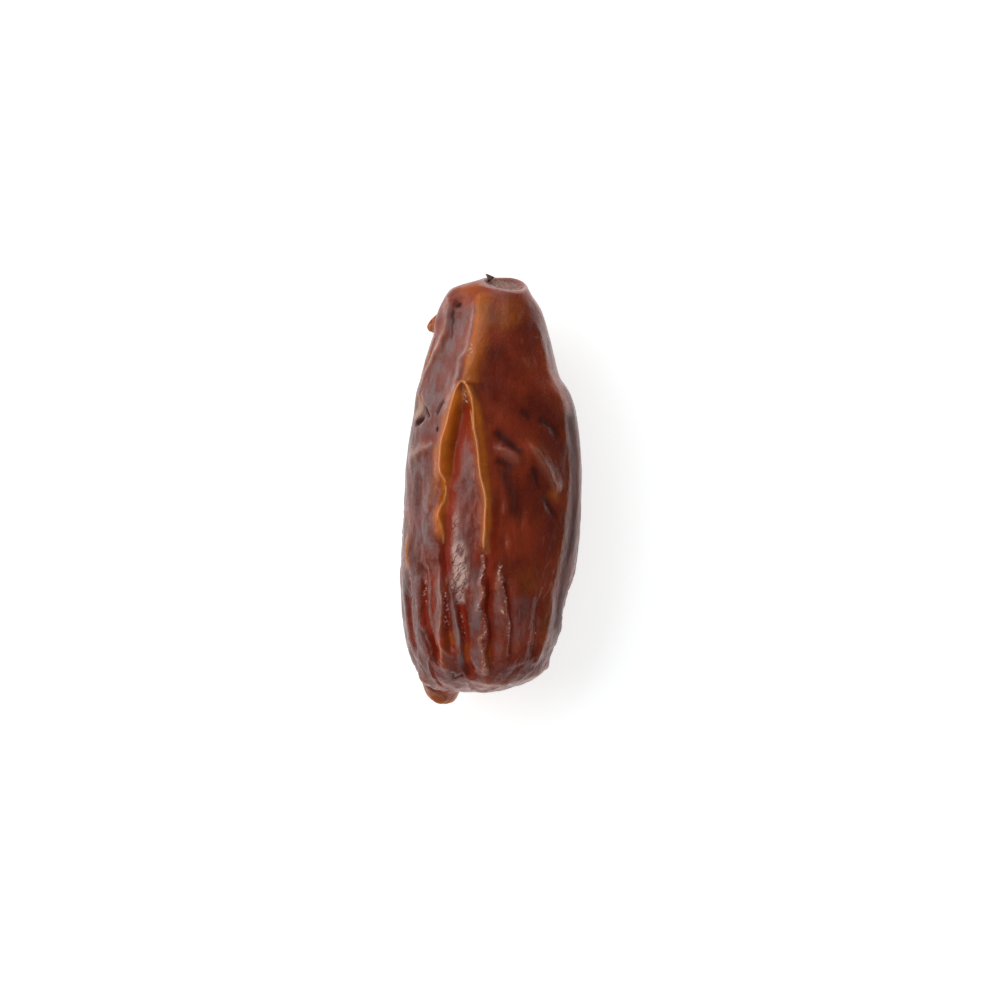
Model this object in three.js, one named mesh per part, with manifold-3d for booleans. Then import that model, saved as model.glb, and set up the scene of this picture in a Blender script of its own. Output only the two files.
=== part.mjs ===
// A Deglet Nour date: the dried fruit of a date palm, whole, lying on its side.
// It grew as one body, so it is one solid: the skin with its folds and pleats, the round scar that the calyx
// left, a small torn place on the left flank, a lip of flesh at the blossom end, a flake of lifted skin and
// the broken end of a fibre at the scar.
//
// Lengths are in millimetres. X runs across the fruit, Y along it to the stem end, and Z up from the surface
// that it lies on. Left and right are as seen from above with the stem end away.

import * as THREE from "three";
import { mergeVertices } from "three/addons/utils/BufferGeometryUtils.js";
import Module from "manifold-3d";

const wasm = await Module();
wasm.setup();

// The two ends of the fruit's own axis.
const STEM_POLE = new THREE.Vector3(1.3, 20.7, 10.4);
const BLOSSOM_POLE = new THREE.Vector3(-1.2, -20.1, 6.2);

// The smooth body: at places along Y, its left and right sides, its back and its belly.
const SECTIONS = [
  { y: 20.3, left: -1.5, right: 3.0, back: 12.0, belly: 7.4 },
  { y: 19.6, left: -3.8, right: 3.5, back: 12.6, belly: 5.6 },
  { y: 18.8, left: -4.55, right: 4.0, back: 13.0, belly: 4.3 },
  { y: 17.3, left: -5.25, right: 4.95, back: 13.6, belly: 2.9 },
  { y: 15.0, left: -5.75, right: 5.65, back: 14.3, belly: 1.7 },
  { y: 12.6, left: -6.55, right: 6.25, back: 14.8, belly: 0.9 },
  { y: 10.8, left: -7.0, right: 6.75, back: 15.0, belly: 0.5 },
  { y: 9.4, left: -7.4, right: 7.7, back: 15.2, belly: 0.3 },
  { y: 7.5, left: -7.65, right: 8.3, back: 15.3, belly: 0.0 },
  { y: 3.2, left: -8.35, right: 8.85, back: 15.5, belly: -0.2 },
  { y: -1.0, left: -8.65, right: 8.9, back: 15.5, belly: -0.25 },
  { y: -4.7, left: -8.9, right: 8.75, back: 15.4, belly: -0.2 },
  { y: -8.0, left: -9.05, right: 8.25, back: 15.2, belly: -0.05 },
  { y: -11.0, left: -8.95, right: 7.45, back: 14.9, belly: 0.25 },
  { y: -14.0, left: -8.65, right: 6.95, back: 14.3, belly: 0.9 },
  { y: -16.4, left: -8.1, right: 6.05, back: 13.4, belly: 1.7 },
  { y: -17.9, left: -7.6, right: 5.35, back: 12.3, belly: 2.5 },
  { y: -18.9, left: -7.15, right: 4.2, back: 11.0, belly: 3.3 },
  { y: -19.6, left: -6.1, right: 2.4, back: 9.3, belly: 4.3 },
];
// How square a cross-section is: 2 is an ellipse.
const SQUARENESS = 2.15;

// The scar of the calyx: a round, slightly sunken face with a raised rim.
const SCAR = {
  centre: new THREE.Vector3(1.3, 19.95, 10.5),
  facing: new THREE.Vector3(0.16, 0.93, 0.33).normalize(),
  radius: 2.1,
  edge: 0.7,
  recess: 0.25,
  rim: 0.12,
};

// Routes over the back, as places [x, y] from the stem end down.
const CROWN = [
  [-0.7, 19.4], [-1.1, 18.4], [-1.1, 16.5], [-1.5, 14.7], [-1.9, 12.8], [-2.3, 11.4], [-2.7, 10.4],
];
const CROWN_LEFT = [[-1.7, 19.0], [-1.9, 18.0], [-1.9, 16.0], [-2.3, 14.0], [-3.0, 12.1], [-3.1, 11.4]];
const CROWN_RIGHT = [[0.3, 19.0], [-0.2, 18.0], [-0.3, 16.0], [-0.9, 13.8], [-1.4, 12.1], [-1.9, 11.0]];
const LEFT_ARM = [
  [-3.0, 10.1], [-3.4, 9.2], [-3.8, 7.9], [-4.1, 6.9], [-4.5, 5.6], [-4.9, 4.6], [-5.1, 3.2], [-5.1, 1.8],
  [-4.9, 0.9], [-4.8, 0.0],
];
const LEFT_TURN = [[-5.2, -1.3], [-5.4, -2.0], [-5.4, -3.0], [-5.3, -4.2], [-5.2, -5.4]];
const LEFT_PLEAT = [[-4.9, -7.0], [-4.8, -9.5], [-4.8, -12.3], [-4.9, -14.8], [-4.7, -16.8], [-4.3, -18.4]];
const RIGHT_ARM = [
  [-2.4, 10.1], [-2.0, 9.2], [-1.7, 8.0], [-1.6, 6.6], [-1.4, 4.7], [-1.1, 2.6], [-0.9, 0.9], [-0.6, -0.5],
  [-0.5, -2.0], [-0.6, -3.8], [-0.7, -5.4], [-0.6, -6.6],
];
const MIDDLE_PLEAT = [
  [-0.7, -8.4], [-0.8, -10.4], [-1.1, -11.7], [-0.6, -13.4], [-0.9, -15.0], [-0.7, -16.8], [-0.5, -18.4],
];
const SHOULDER_FOLD = [[-4.2, 18.8], [-4.3, 17.4], [-4.6, 15.7], [-5.1, 14.0], [-5.8, 12.6], [-6.2, 11.8]];
const LEFT_FLANK = [
  [-6.3, 9.6], [-6.3, 7.6], [-6.1, 5.4], [-6.6, 3.0], [-7.0, 0.5], [-7.05, -4.0], [-7.0, -9.0],
  [-6.9, -14.5], [-6.1, -17.4],
];
const RIGHT_EDGE = [
  [4.3, 16.5], [5.2, 12.5], [6.2, 9.8], [6.9, 8.0], [7.1, 5.8], [7.4, 3.3], [7.5, 0.8], [7.3, -1.6],
  [7.0, -4.1], [6.6, -6.3], [6.1, -9.0], [5.7, -11.5], [5.3, -14.0], [4.7, -16.0], [4.0, -17.6],
];

// Folds and creases that show from above. Each has its height, negative for a crease, the width of its left
// and its right flank, and its route.
const BACK_FOLDS = [
  // The crown between the stem scar and the parting of the big fold, with the flat facet at its left.
  { height: 0.5, left: 0.8, right: 1.6, sink: 0, route: CROWN },
  {
    height: -0.5, left: 1.9, right: 1.2, sink: 4,
    route: [[-3.1, 18.0], [-3.5, 15.8], [-4.2, 13.4], [-4.8, 11.0], [-5.3, 8.8], [-5.7, 6.8]],
  },
  { height: 0.35, left: 0.5, right: 0.45, route: SHOULDER_FOLD },
  { height: -0.5, left: 0.45, right: 0.45, route: [[-3.2, 18.4], [-3.7, 17.4], [-4.0, 16.4], [-4.2, 14.8]] },
  { height: 0.15, left: 0.7, right: 0.7, route: [[2.1, 13.4], [2.8, 12.6], [3.5, 11.9], [3.7, 10.8]] },

  // The big fold parts in two arms with a hollow between them.
  { height: 0.6, left: 0.8, right: 0.5, rise: 0, route: [CROWN.at(-1), ...LEFT_ARM] },
  { height: 0.5, left: 0.7, right: 0.5, route: LEFT_TURN },
  { height: 0.6, left: 0.5, right: 0.7, rise: 0, route: [CROWN.at(-1), ...RIGHT_ARM] },
  {
    height: -0.6, left: 0.5, right: 1.1,
    route: [[-2.8, 8.8], [-3.1, 7.2], [-3.4, 5.6], [-3.7, 4.0], [-4.0, 2.0], [-4.3, 0.2]],
  },
  {
    height: -0.5, left: 0.45, right: 0.8,
    route: [[-4.3, 0.2], [-4.55, -1.8], [-4.65, -4.0], [-4.6, -6.5], [-4.5, -9.5]],
  },

  // The left flank, by the torn place and below it.
  { height: 0.25, left: 0.4, right: 0.8, route: [[-7.0, 9.1], [-6.6, 8.3], [-6.1, 7.6]] },
  { height: -0.4, left: 0.35, right: 0.35, route: [[-4.6, 8.7], [-5.0, 8.1], [-5.3, 7.5]] },
  { height: 0.35, left: 0.6, right: 0.6, route: [[-8.2, 2.4], [-7.3, 3.4], [-6.4, 4.0], [-5.6, 4.8]] },
  { height: -0.4, left: 0.45, right: 0.45, route: [[-6.9, 2.3], [-7.0, 0.5], [-7.1, -1.4], [-7.1, -3.6]] },
  { height: 0.2, left: 0.6, right: 0.6, route: [[-6.1, 2.0], [-5.9, 0.0], [-6.1, -3.0]] },
  { height: 0.3, left: 0.4, right: 0.4, route: [[-8.1, -4.0], [-8.2, -6.0], [-8.2, -8.4]] },

  // Dents and slanting folds of the right shoulder.
  {
    height: -0.45, left: 0.65, right: 0.65,
    route: [[-0.1, 5.8], [0.8, 5.1], [1.6, 4.5], [2.4, 3.9], [3.3, 2.9]],
  },
  { height: -0.25, left: 0.5, right: 0.5, route: [[2.7, 7.6], [3.3, 7.2], [3.8, 6.8]] },
  { height: -0.35, left: 0.55, right: 0.6, route: [[4.2, 6.8], [5.1, 6.5], [5.9, 6.0], [6.7, 4.6]] },
  { height: 0.25, left: 0.5, right: 0.5, route: [[-0.1, 4.2], [1.3, 3.7], [2.5, 3.0], [2.9, 2.0]] },
  { height: -0.4, left: 0.65, right: 0.6, route: [[0.1, 2.9], [1.1, 2.5], [1.9, 1.8], [2.1, 1.0]] },
  { height: -0.35, left: 0.5, right: 0.5, route: [[3.8, 2.3], [4.4, 1.3], [4.7, 0.3], [4.9, -0.6]] },
  { height: -0.4, left: 0.5, right: 0.55, route: [[4.8, -0.3], [5.5, -1.4], [6.0, -2.4], [6.5, -3.2]] },
  {
    height: 0.35, left: 0.6, right: 0.8,
    route: [[3.2, 4.8], [4.1, 4.0], [4.8, 3.0], [5.3, 2.0], [5.7, 0.9], [6.4, 0.1], [7.0, -0.5]],
  },
  { height: -0.2, left: 0.5, right: 0.5, route: [[0.8, 0.0], [0.9, -1.4], [0.8, -3.0]] },
  { height: -0.2, left: 0.4, right: 0.4, route: [[2.8, -1.2], [2.9, -3.2], [2.6, -4.6]] },
  { height: -0.2, left: 0.4, right: 0.4, route: [[1.2, -3.8], [1.3, -5.2], [1.3, -6.6]] },

  // The right edge is a rounded corner that the flank turns down from, with a shallow crease outside it.
  { height: 0.3, left: 0.7, right: 0.7, route: RIGHT_EDGE },
  {
    height: -0.2, left: 0.4, right: 0.4,
    route: [[7.9, 6.0], [8.2, 3.3], [8.3, 0.3], [8.1, -2.4], [7.8, -4.6]],
  },

  // The pleats of the blossom half, from left to right.
  {
    height: -0.45, left: 0.45, right: 0.45,
    route: [[-8.3, -9.4], [-8.2, -12.0], [-7.9, -14.6], [-7.2, -16.8]],
  },
  {
    height: -0.55, left: 0.4, right: 0.5,
    route: [
      [-6.7, -7.0], [-6.7, -9.5], [-6.7, -12.0], [-6.4, -13.6], [-5.9, -14.9], [-5.5, -16.2], [-4.8, -17.0],
    ],
  },
  { height: 0.3, left: 0.6, right: 0.45, route: LEFT_PLEAT },
  {
    height: -0.45, left: 0.4, right: 0.45,
    route: [[-4.4, -10.0], [-4.3, -12.6], [-4.2, -14.6], [-3.8, -16.4]],
  },
  {
    height: -0.55, left: 0.4, right: 0.55,
    route: [[-3.5, -10.0], [-3.2, -11.2], [-2.8, -13.2], [-2.6, -15.2], [-2.5, -17.0], [-1.7, -18.7]],
  },
  { height: 0.25, left: 0.9, right: 0.45, route: MIDDLE_PLEAT },
  {
    height: -0.5, left: 0.35, right: 0.5,
    route: [[-0.2, -8.0], [-0.2, -10.2], [-0.3, -12.2], [0.0, -14.2], [-0.2, -16.4], [0.1, -18.4]],
  },
  { height: 0.25, left: 0.7, right: 0.4, route: [[0.9, -7.4], [0.9, -9.4], [1.2, -11.2], [1.5, -13.0]] },
  {
    height: -0.4, left: 0.4, right: 0.5,
    route: [[1.4, -8.2], [1.7, -10.6], [2.0, -12.8], [2.1, -15.0], [1.7, -17.2]],
  },
  { height: -0.35, left: 0.5, right: 0.5, route: [[4.6, -10.4], [4.4, -12.6], [4.4, -14.6], [3.9, -16.8]] },
  { height: -0.2, left: 0.45, right: 0.45, route: [[3.2, -11.0], [3.0, -13.4], [3.0, -15.6]] },
];

// Folds round the two ends and on the flanks. Their places are [degrees, y], with 0 at the right, 90 at the
// back, 180 at the left and 270 at the belly.
const FLANK_FOLDS = [
  // The hem of the blossom end: a crease over the lip on the left and a soft rim on the right.
  {
    height: -0.5, left: 0.6, right: 0.6,
    route: [[176, -17.6], [190, -18.6], [206, -19.2], [228, -19.5], [258, -19.6]],
  },
  {
    height: 0.3, left: 0.8, right: 0.8,
    route: [[95, -18.9], [60, -18.9], [35, -18.4], [12, -17.6], [0, -16.4]],
  },
];

// Pleats of the hidden sides, and creases that run in to the blossom end, by a rule with a seeded draw. Each
// set goes round from the first angle to the last, and each pleat runs from a drawn start along Y to an end.
const PLEAT_SETS = [
  {
    seed: 11, first: 192, last: 356, count: 13, drift: 5,
    depth: [0.25, 0.5], width: [0.5, 0.8], start: [0, 13], end: -18.8,
  },
  {
    seed: 5, first: 172, last: 372, count: 9, drift: 4,
    depth: [0.2, 0.4], width: [0.4, 0.6], start: [-17.5, -15], end: -19.95,
  },
];
const PLEAT_POINTS = 7;
// How far a drawn pleat goes through its sideways swing from end to end, in radians.
const PLEAT_SWING = 4.5;

// Round hollows and swellings of the back: place [x, y], height and radius.
const SPOTS = [
  { at: [-3.3, 18.2], height: -0.4, radius: 0.6 },
  { at: [-7.0, 7.8], height: -0.5, radius: 0.9 },
  { at: [-6.5, 7.2], height: -0.4, radius: 0.5 },
  { at: [2.3, 14.5], height: 0.25, radius: 3.2 },
  { at: [5.2, -12.0], height: 0.2, radius: 1.6 },
];

// The lip of flesh that stands out under the left of the blossom end.
const LIP = {
  centre: new THREE.Vector3(-5.2, -18.5, 4.2),
  reach: new THREE.Vector3(0.2, -2.2, -0.2),
  radius: 2.2,
};

// The flake of skin that has lifted off the left flank near the stem: a thin pointed scale.
const FLAKE = {
  root: new THREE.Vector3(-4.5, 16.5, 9.1),
  tip: new THREE.Vector3(-6.3, 15.8, 9.6),
  width: 2.2,
  thickness: 0.6,
};

// The broken end of a fibre that stands at the edge of the scar.
const FIBRE = {
  root: new THREE.Vector3(-0.15, 19.8, 9.9),
  tip: new THREE.Vector3(-0.65, 21.1, 9.9),
  width: 0.8,
  thickness: 0.8,
};

// The columns of the mesh follow the main folds. They are counted round the fruit from the belly, up the
// right side to the first line, and so on to the belly again.
const GUIDES = [
  { columns: 25, route: RIGHT_EDGE },
  { columns: 18, route: [...CROWN_RIGHT, ...RIGHT_ARM, ...MIDDLE_PLEAT] },
  { columns: 10, route: [...CROWN_LEFT, ...LEFT_ARM, ...LEFT_TURN, ...LEFT_PLEAT] },
  { columns: 11, route: [...SHOULDER_FOLD, ...LEFT_FLANK] },
];
const LAST_COLUMNS = 29;
const ROWS = 62;

// Places along the smooth line of a route, for each stretch between two of its own.
const ROUTE_STEPS = 3;
// A fold rises over this length at its start and sinks over it at its end, where it names no other.
const FADE = 1.6;
// How a fold falls off over its flanks: at 2 its crest would be round, and at 1 it would be sharp.
const FOLD_POWER = 1.7;
// How many widths of its flank a fold reaches out.
const FOLD_REACH = 2.4;
// Folds are pressed out where the fruit lies on the surface, below this height.
const PRESSED_HEIGHT = 0.9;

const BELLY_ANGLE = -Math.PI / 2;
const FULL_TURN = 2 * Math.PI;
const { clamp, degToRad, inverseLerp, lerp, smoothstep } = THREE.MathUtils;

// A smooth curve through [position, value] pairs in falling order of position. It holds its end values.
function curveThrough(pairs) {
  const slopes = pairs.map((_, i) => {
    const [before, after] = [pairs[Math.max(i - 1, 0)], pairs[Math.min(i + 1, pairs.length - 1)]];
    return (after[1] - before[1]) / (after[0] - before[0]);
  });
  return (asked) => {
    const position = clamp(asked, pairs.at(-1)[0], pairs[0][0]);
    let i = 0;
    while (i < pairs.length - 2 && position < pairs[i + 1][0]) i += 1;
    const [[from, a], [to, b]] = [pairs[i], pairs[i + 1]];
    const span = to - from;
    const t = (position - from) / span;
    const bend = t * (1 - t) ** 2 * slopes[i] - t * t * (1 - t) * slopes[i + 1];
    return a + (b - a) * t * t * (3 - 2 * t) + span * bend;
  };
}

// The place of the fruit's axis at y.
function axisAt(y) {
  const share = inverseLerp(BLOSSOM_POLE.y, STEM_POLE.y, y);
  return new THREE.Vector3().lerpVectors(BLOSSOM_POLE, STEM_POLE, share);
}

// The distance of one side from the axis. Its square runs smoothly to nothing at the poles, so both ends
// come out round.
function reachOf(side, coordinate) {
  const squares = SECTIONS.map(({ y, [side]: place }) => [y, (place - axisAt(y)[coordinate]) ** 2]);
  const curve = curveThrough([[STEM_POLE.y, 0], ...squares, [BLOSSOM_POLE.y, 0]]);
  return (y) => Math.sqrt(Math.max(curve(y), 0));
}

const reach = {
  left: reachOf("left", "x"),
  right: reachOf("right", "x"),
  back: reachOf("back", "z"),
  belly: reachOf("belly", "z"),
};

// The point of the smooth body at an angle round its axis and a place y along it.
function bodyPoint(angle, y) {
  const [c, s] = [Math.cos(angle), Math.sin(angle)];
  const across = c > 0 ? reach.right(y) : reach.left(y);
  const up = s > 0 ? reach.back(y) : reach.belly(y);
  const bulge = (v) => Math.sign(v) * Math.abs(v) ** (2 / SQUARENESS);
  return axisAt(y).add(new THREE.Vector3(across * bulge(c), 0, up * bulge(s)));
}

// The direction out of the smooth body there, from two short steps over it.
function bodyNormal(angle, y) {
  const step = 1e-3;
  const from = clamp(y, BLOSSOM_POLE.y + 2 * step, STEM_POLE.y - 2 * step);
  const round = bodyPoint(angle + step, from).sub(bodyPoint(angle - step, from));
  const along = bodyPoint(angle, from + step).sub(bodyPoint(angle, from - step));
  return along.cross(round).normalize();
}

// The angle at which the smooth body's back is at x.
function backAngle(x, y) {
  const offset = x - axisAt(y).x;
  const share = clamp(offset / (offset > 0 ? reach.right(y) : reach.left(y)), -0.98, 0.98);
  return Math.acos(Math.sign(share) * Math.abs(share) ** (SQUARENESS / 2));
}

// A fold with its route as a smooth line on the body.
function laid(fold, angleOf) {
  const places = fold.route.map(([place, y]) => bodyPoint(angleOf(place, y), y));
  const line = new THREE.CatmullRomCurve3(places, false, "centripetal");
  const points = line.getPoints(ROUTE_STEPS * (places.length - 1));
  const lengths = [0];
  for (let i = 1; i < points.length; i += 1) {
    lengths.push(lengths[i - 1] + points[i].distanceTo(points[i - 1]));
  }
  const reachOut = FOLD_REACH * Math.max(fold.left, fold.right);
  const box = new THREE.Box3().setFromPoints(points).expandByScalar(reachOut);
  return { rise: FADE, sink: FADE, ...fold, points, lengths, reachOut, box };
}

// Draws between 0 and 1, the same in every run.
function* draws(seed) {
  let state = seed;
  while (true) {
    state = (Math.imul(state, 1664525) + 1013904223) >>> 0;
    yield state / 2 ** 32;
  }
}

// One set of drawn pleats, each a little off a straight line.
function drawnPleats({ seed, first, last, count, drift, depth, width, start, end }) {
  const source = draws(seed);
  const between = ([low, high]) => lerp(low, high, source.next().value);
  return Array.from({ length: count }, (_, i) => {
    const angle = lerp(first, last, i / (count - 1));
    const [top, height, flank] = [between(start), -between(depth), between(width)];
    const phase = between([0, FULL_TURN]);
    const route = Array.from({ length: PLEAT_POINTS }, (_, k) => {
      const share = k / (PLEAT_POINTS - 1);
      return [angle + drift * Math.sin(phase + PLEAT_SWING * share), lerp(top, end, share)];
    });
    return { height, left: flank, right: flank, route };
  });
}

const folds = [
  ...BACK_FOLDS.map((fold) => laid(fold, backAngle)),
  ...[...FLANK_FOLDS, ...PLEAT_SETS.flatMap(drawnPleats)].map((fold) => laid(fold, degToRad)),
];
const spots = SPOTS.map((spot) => ({ ...spot, centre: bodyPoint(backAngle(...spot.at), spot.at[1]) }));

const segment = new THREE.Line3();
const nearby = new THREE.Vector3();
const away = new THREE.Vector3();

// Rises smoothly from 0 to 1 over a length, or is 1 throughout where the length is 0.
function ramp(along, length) {
  return length === 0 ? 1 : smoothstep(along, 0, length);
}

// How far one fold lifts the skin at a point of the smooth body.
function liftOf(fold, point, normal) {
  if (!fold.box.containsPoint(point)) return 0;
  let [nearest, lift] = [fold.reachOut, 0];
  for (let i = 0; i + 1 < fold.points.length; i += 1) {
    segment.set(fold.points[i], fold.points[i + 1]);
    segment.closestPointToPoint(point, true, nearby);
    away.subVectors(point, nearby);
    const distance = away.length();
    if (distance >= nearest) continue;
    nearest = distance;
    const along = fold.lengths[i] + fold.points[i].distanceTo(nearby);
    const onLeft = segment.delta(nearby).cross(normal).dot(away) > 0;
    const profile = Math.exp(-((distance / (onLeft ? fold.left : fold.right)) ** FOLD_POWER));
    lift = fold.height * profile * ramp(along, fold.rise) * ramp(fold.lengths.at(-1) - along, fold.sink);
  }
  return lift;
}

// Flattens the stem end at the scar, sinks its face a little and raises its rim.
function pressScar(point) {
  const offset = new THREE.Vector3().subVectors(point, SCAR.centre);
  const height = offset.dot(SCAR.facing);
  if (height < -2) return;
  const distance = offset.addScaledVector(SCAR.facing, -height).length();
  const face = 1 - smoothstep(distance, SCAR.radius - SCAR.edge, SCAR.radius);
  const rim = SCAR.rim * Math.exp(-(((distance - SCAR.radius) / (0.5 * SCAR.edge)) ** 2));
  const excess = Math.max(height, 0) * (1 - smoothstep(distance, SCAR.radius, 2 * SCAR.radius));
  point.addScaledVector(SCAR.facing, rim - excess - SCAR.recess * face);
}

// The skin's point at an angle round the axis and a place y along it.
function skinPoint(angle, y) {
  const point = bodyPoint(angle, y);
  const normal = bodyNormal(angle, y);
  // Folds don't pile up: the highest ridge and the deepest crease count.
  const lifts = folds.map((fold) => liftOf(fold, point, normal));
  let lift = Math.max(0, ...lifts) + Math.min(0, ...lifts);
  for (const { centre, height, radius } of spots) {
    lift += height * Math.exp(-((point.distanceTo(centre) / radius) ** 2));
  }
  // The skin is tight round the scar, and pressed smooth where the fruit lies.
  const loose = smoothstep(point.distanceTo(SCAR.centre), SCAR.radius, 2 * SCAR.radius);
  const free = smoothstep(point.z, 0, PRESSED_HEIGHT);
  const lip = Math.exp(-((point.distanceTo(LIP.centre) / LIP.radius) ** 3));
  point.addScaledVector(normal, lift * loose * free);
  point.addScaledVector(LIP.reach, lip);
  pressScar(point);
  point.z = Math.max(point.z, 0);
  return point;
}

// The angle of one column at y: it keeps its share of the way between the lines on either side.
function columnAngle(column, y, lines) {
  let right = lines[0];
  for (const left of lines.slice(1)) {
    if (column <= left.column) {
      const share = inverseLerp(right.column, left.column, column);
      return lerp(right.angleAt(y), left.angleAt(y), share);
    }
    right = left;
  }
  return lines.at(-1).angleAt(y);
}

// The lines that the columns follow, from the belly round to the belly.
function columnLines() {
  const lines = [{ column: 0, angleAt: () => BELLY_ANGLE }];
  for (const { columns, route } of GUIDES) {
    const angleAt = curveThrough(route.map(([x, y]) => [y, backAngle(x, y)]));
    lines.push({ column: lines.at(-1).column + columns, angleAt });
  }
  const total = lines.at(-1).column + LAST_COLUMNS;
  return [...lines, { column: total, angleAt: () => BELLY_ANGLE + FULL_TURN }];
}

// The skin: a ball whose columns run from pole to pole, each of its points moved to its place on the fruit.
function skinGeometry() {
  const lines = columnLines();
  const columns = lines.at(-1).column;
  const ball = new THREE.SphereGeometry(1, columns, ROWS, 0, FULL_TURN);
  const places = ball.getAttribute("position");
  const [middle, half] = [(STEM_POLE.y + BLOSSOM_POLE.y) / 2, (STEM_POLE.y - BLOSSOM_POLE.y) / 2];
  for (let i = 0; i < places.count; i += 1) {
    const row = Math.floor(i / (columns + 1));
    const column = columns - (i % (columns + 1));
    // Rows are even in the middle and closer towards the poles.
    const rise = 1 - (2 * row) / ROWS;
    const y = middle + (half * rise * (5 - rise ** 4)) / 4;
    const atPole = row % ROWS === 0;
    const place = skinPoint(columnAngle(atPole ? 0 : column % columns, y, lines), y);
    places.setXYZ(i, place.x, place.y, place.z);
  }
  return ball;
}

// A pointed scale or spike from its root to its tip, flattened to its thickness.
function spikeGeometry({ root, tip, width, thickness }) {
  const along = new THREE.Vector3().subVectors(tip, root);
  const length = along.length();
  const turn = new THREE.Quaternion().setFromUnitVectors(new THREE.Vector3(0, 1, 0), along.normalize());
  const cone = new THREE.ConeGeometry(width / 2, length, 12).translate(0, length / 2, 0);
  return cone.scale(1, 1, thickness / width).applyQuaternion(turn).translate(...root);
}

// A closed geometry as a solid.
function solidOf(geometry) {
  geometry.deleteAttribute("normal");
  geometry.deleteAttribute("uv");
  const merged = mergeVertices(geometry, 1e-4);
  const corners = [];
  for (let i = 0; i < merged.index.count; i += 3) {
    const [a, b, c] = [0, 1, 2].map((k) => merged.index.getX(i + k));
    if (a !== b && b !== c && c !== a) corners.push(a, b, c);
  }
  return new wasm.Manifold(new wasm.Mesh({
    numProp: 3,
    vertProperties: merged.getAttribute("position").array,
    triVerts: new Uint32Array(corners),
  }));
}

// A solid as a geometry.
function geometryOf(solid) {
  const mesh = solid.getMesh();
  const geometry = new THREE.BufferGeometry();
  geometry.setAttribute("position", new THREE.BufferAttribute(mesh.vertProperties, 3));
  geometry.setIndex(new THREE.BufferAttribute(mesh.triVerts, 1));
  geometry.computeVertexNormals();
  return geometry;
}

const body = solidOf(skinGeometry()).add(solidOf(spikeGeometry(FLAKE))).add(solidOf(spikeGeometry(FIBRE)));
const skinMaterial = new THREE.MeshStandardMaterial({ color: 0x6b2a1a, roughness: 0.3, metalness: 0 });
const date = new THREE.Mesh(geometryOf(body), skinMaterial);
date.name = "date";

const fruit = new THREE.Group();
fruit.add(date);
export default fruit;
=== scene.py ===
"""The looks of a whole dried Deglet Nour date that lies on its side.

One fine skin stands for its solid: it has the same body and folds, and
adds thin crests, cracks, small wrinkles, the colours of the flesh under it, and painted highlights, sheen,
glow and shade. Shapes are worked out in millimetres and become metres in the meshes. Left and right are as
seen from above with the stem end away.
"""

from __future__ import annotations

import logging
import math
from dataclasses import dataclass, field
from enum import Enum
from typing import Callable, Iterable, Mapping, Sequence

import bmesh
import bpy
import numpy as np
from bpy.types import NodeSocket
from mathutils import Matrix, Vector, noise

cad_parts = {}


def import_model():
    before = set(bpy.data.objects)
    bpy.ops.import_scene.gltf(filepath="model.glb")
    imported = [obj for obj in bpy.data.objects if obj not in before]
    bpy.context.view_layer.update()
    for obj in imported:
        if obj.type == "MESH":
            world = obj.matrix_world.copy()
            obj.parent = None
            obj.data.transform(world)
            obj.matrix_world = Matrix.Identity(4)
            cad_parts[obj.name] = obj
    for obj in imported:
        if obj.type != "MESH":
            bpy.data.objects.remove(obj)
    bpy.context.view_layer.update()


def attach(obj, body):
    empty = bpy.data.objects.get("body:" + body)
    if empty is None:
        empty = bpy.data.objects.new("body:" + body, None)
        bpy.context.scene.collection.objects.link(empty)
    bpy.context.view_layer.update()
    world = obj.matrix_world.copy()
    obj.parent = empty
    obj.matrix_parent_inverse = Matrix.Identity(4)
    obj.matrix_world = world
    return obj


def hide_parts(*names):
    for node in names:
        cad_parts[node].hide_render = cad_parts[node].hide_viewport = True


log = logging.getLogger("date")

Array = np.ndarray
Route = Sequence[tuple[float, float]]
Colour = tuple[float, float, float]
Span = tuple[float, float]

MM = 0.001
BODY = "root"
NODE = "date"
NOISE_SEED = 7

# The picture's scale in millimetres per pixel, the pixels along its side, and where it shows x = y = 0.
PIXEL = 0.0979
PICTURE_SIDE = 1000
ORIGIN_PIXEL = (491.5, 488.5)

# A stroke has no effect farther from its line than this many times its wider flank.
STROKE_REACH = 2.4


class Place(Enum):
    """How a route names its places."""

    BACK = "x across the back, y along"
    ROUND = "degrees round from the right side, y along"


def seen(*places: tuple[float, float]) -> Route:
    """Gives places on the back, in millimetres, from where the picture shows them, in pixels."""
    across, down = ORIGIN_PIXEL
    return tuple(((x - across) * PIXEL, (down - y) * PIXEL) for x, y in places)


@dataclass(frozen=True)
class Section:
    """The smooth body's left and right sides, its back and its belly at one place y."""

    y: float
    left: float
    right: float
    back: float
    belly: float


@dataclass(frozen=True)
class Trace:
    """A line over the skin: a fold in millimetres, or a patch of colour from 0 to 1.

    Its strength falls off over its left and its right flank, and rises and sinks over a length at its ends. A
    higher power gives a flatter top and steeper flanks.
    """

    strength: float
    left: float
    right: float
    route: Route
    rise: float = 1.6
    sink: float = 1.6
    power: float = 1.7
    place: Place = Place.BACK


@dataclass(frozen=True)
class Spot:
    """A round hollow, swelling or patch on the back, at [x, y]."""

    strength: float
    radius: float
    at: tuple[float, float]
    power: float = 2.0


@dataclass(frozen=True)
class PleatSet:
    """Pleats that go round the body from a first angle to a last one, drawn with a seed."""

    seed: int
    first: float
    last: float
    count: int
    drift: float
    depth: tuple[float, float]
    width: tuple[float, float]
    start: tuple[float, float]
    end: float


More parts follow.
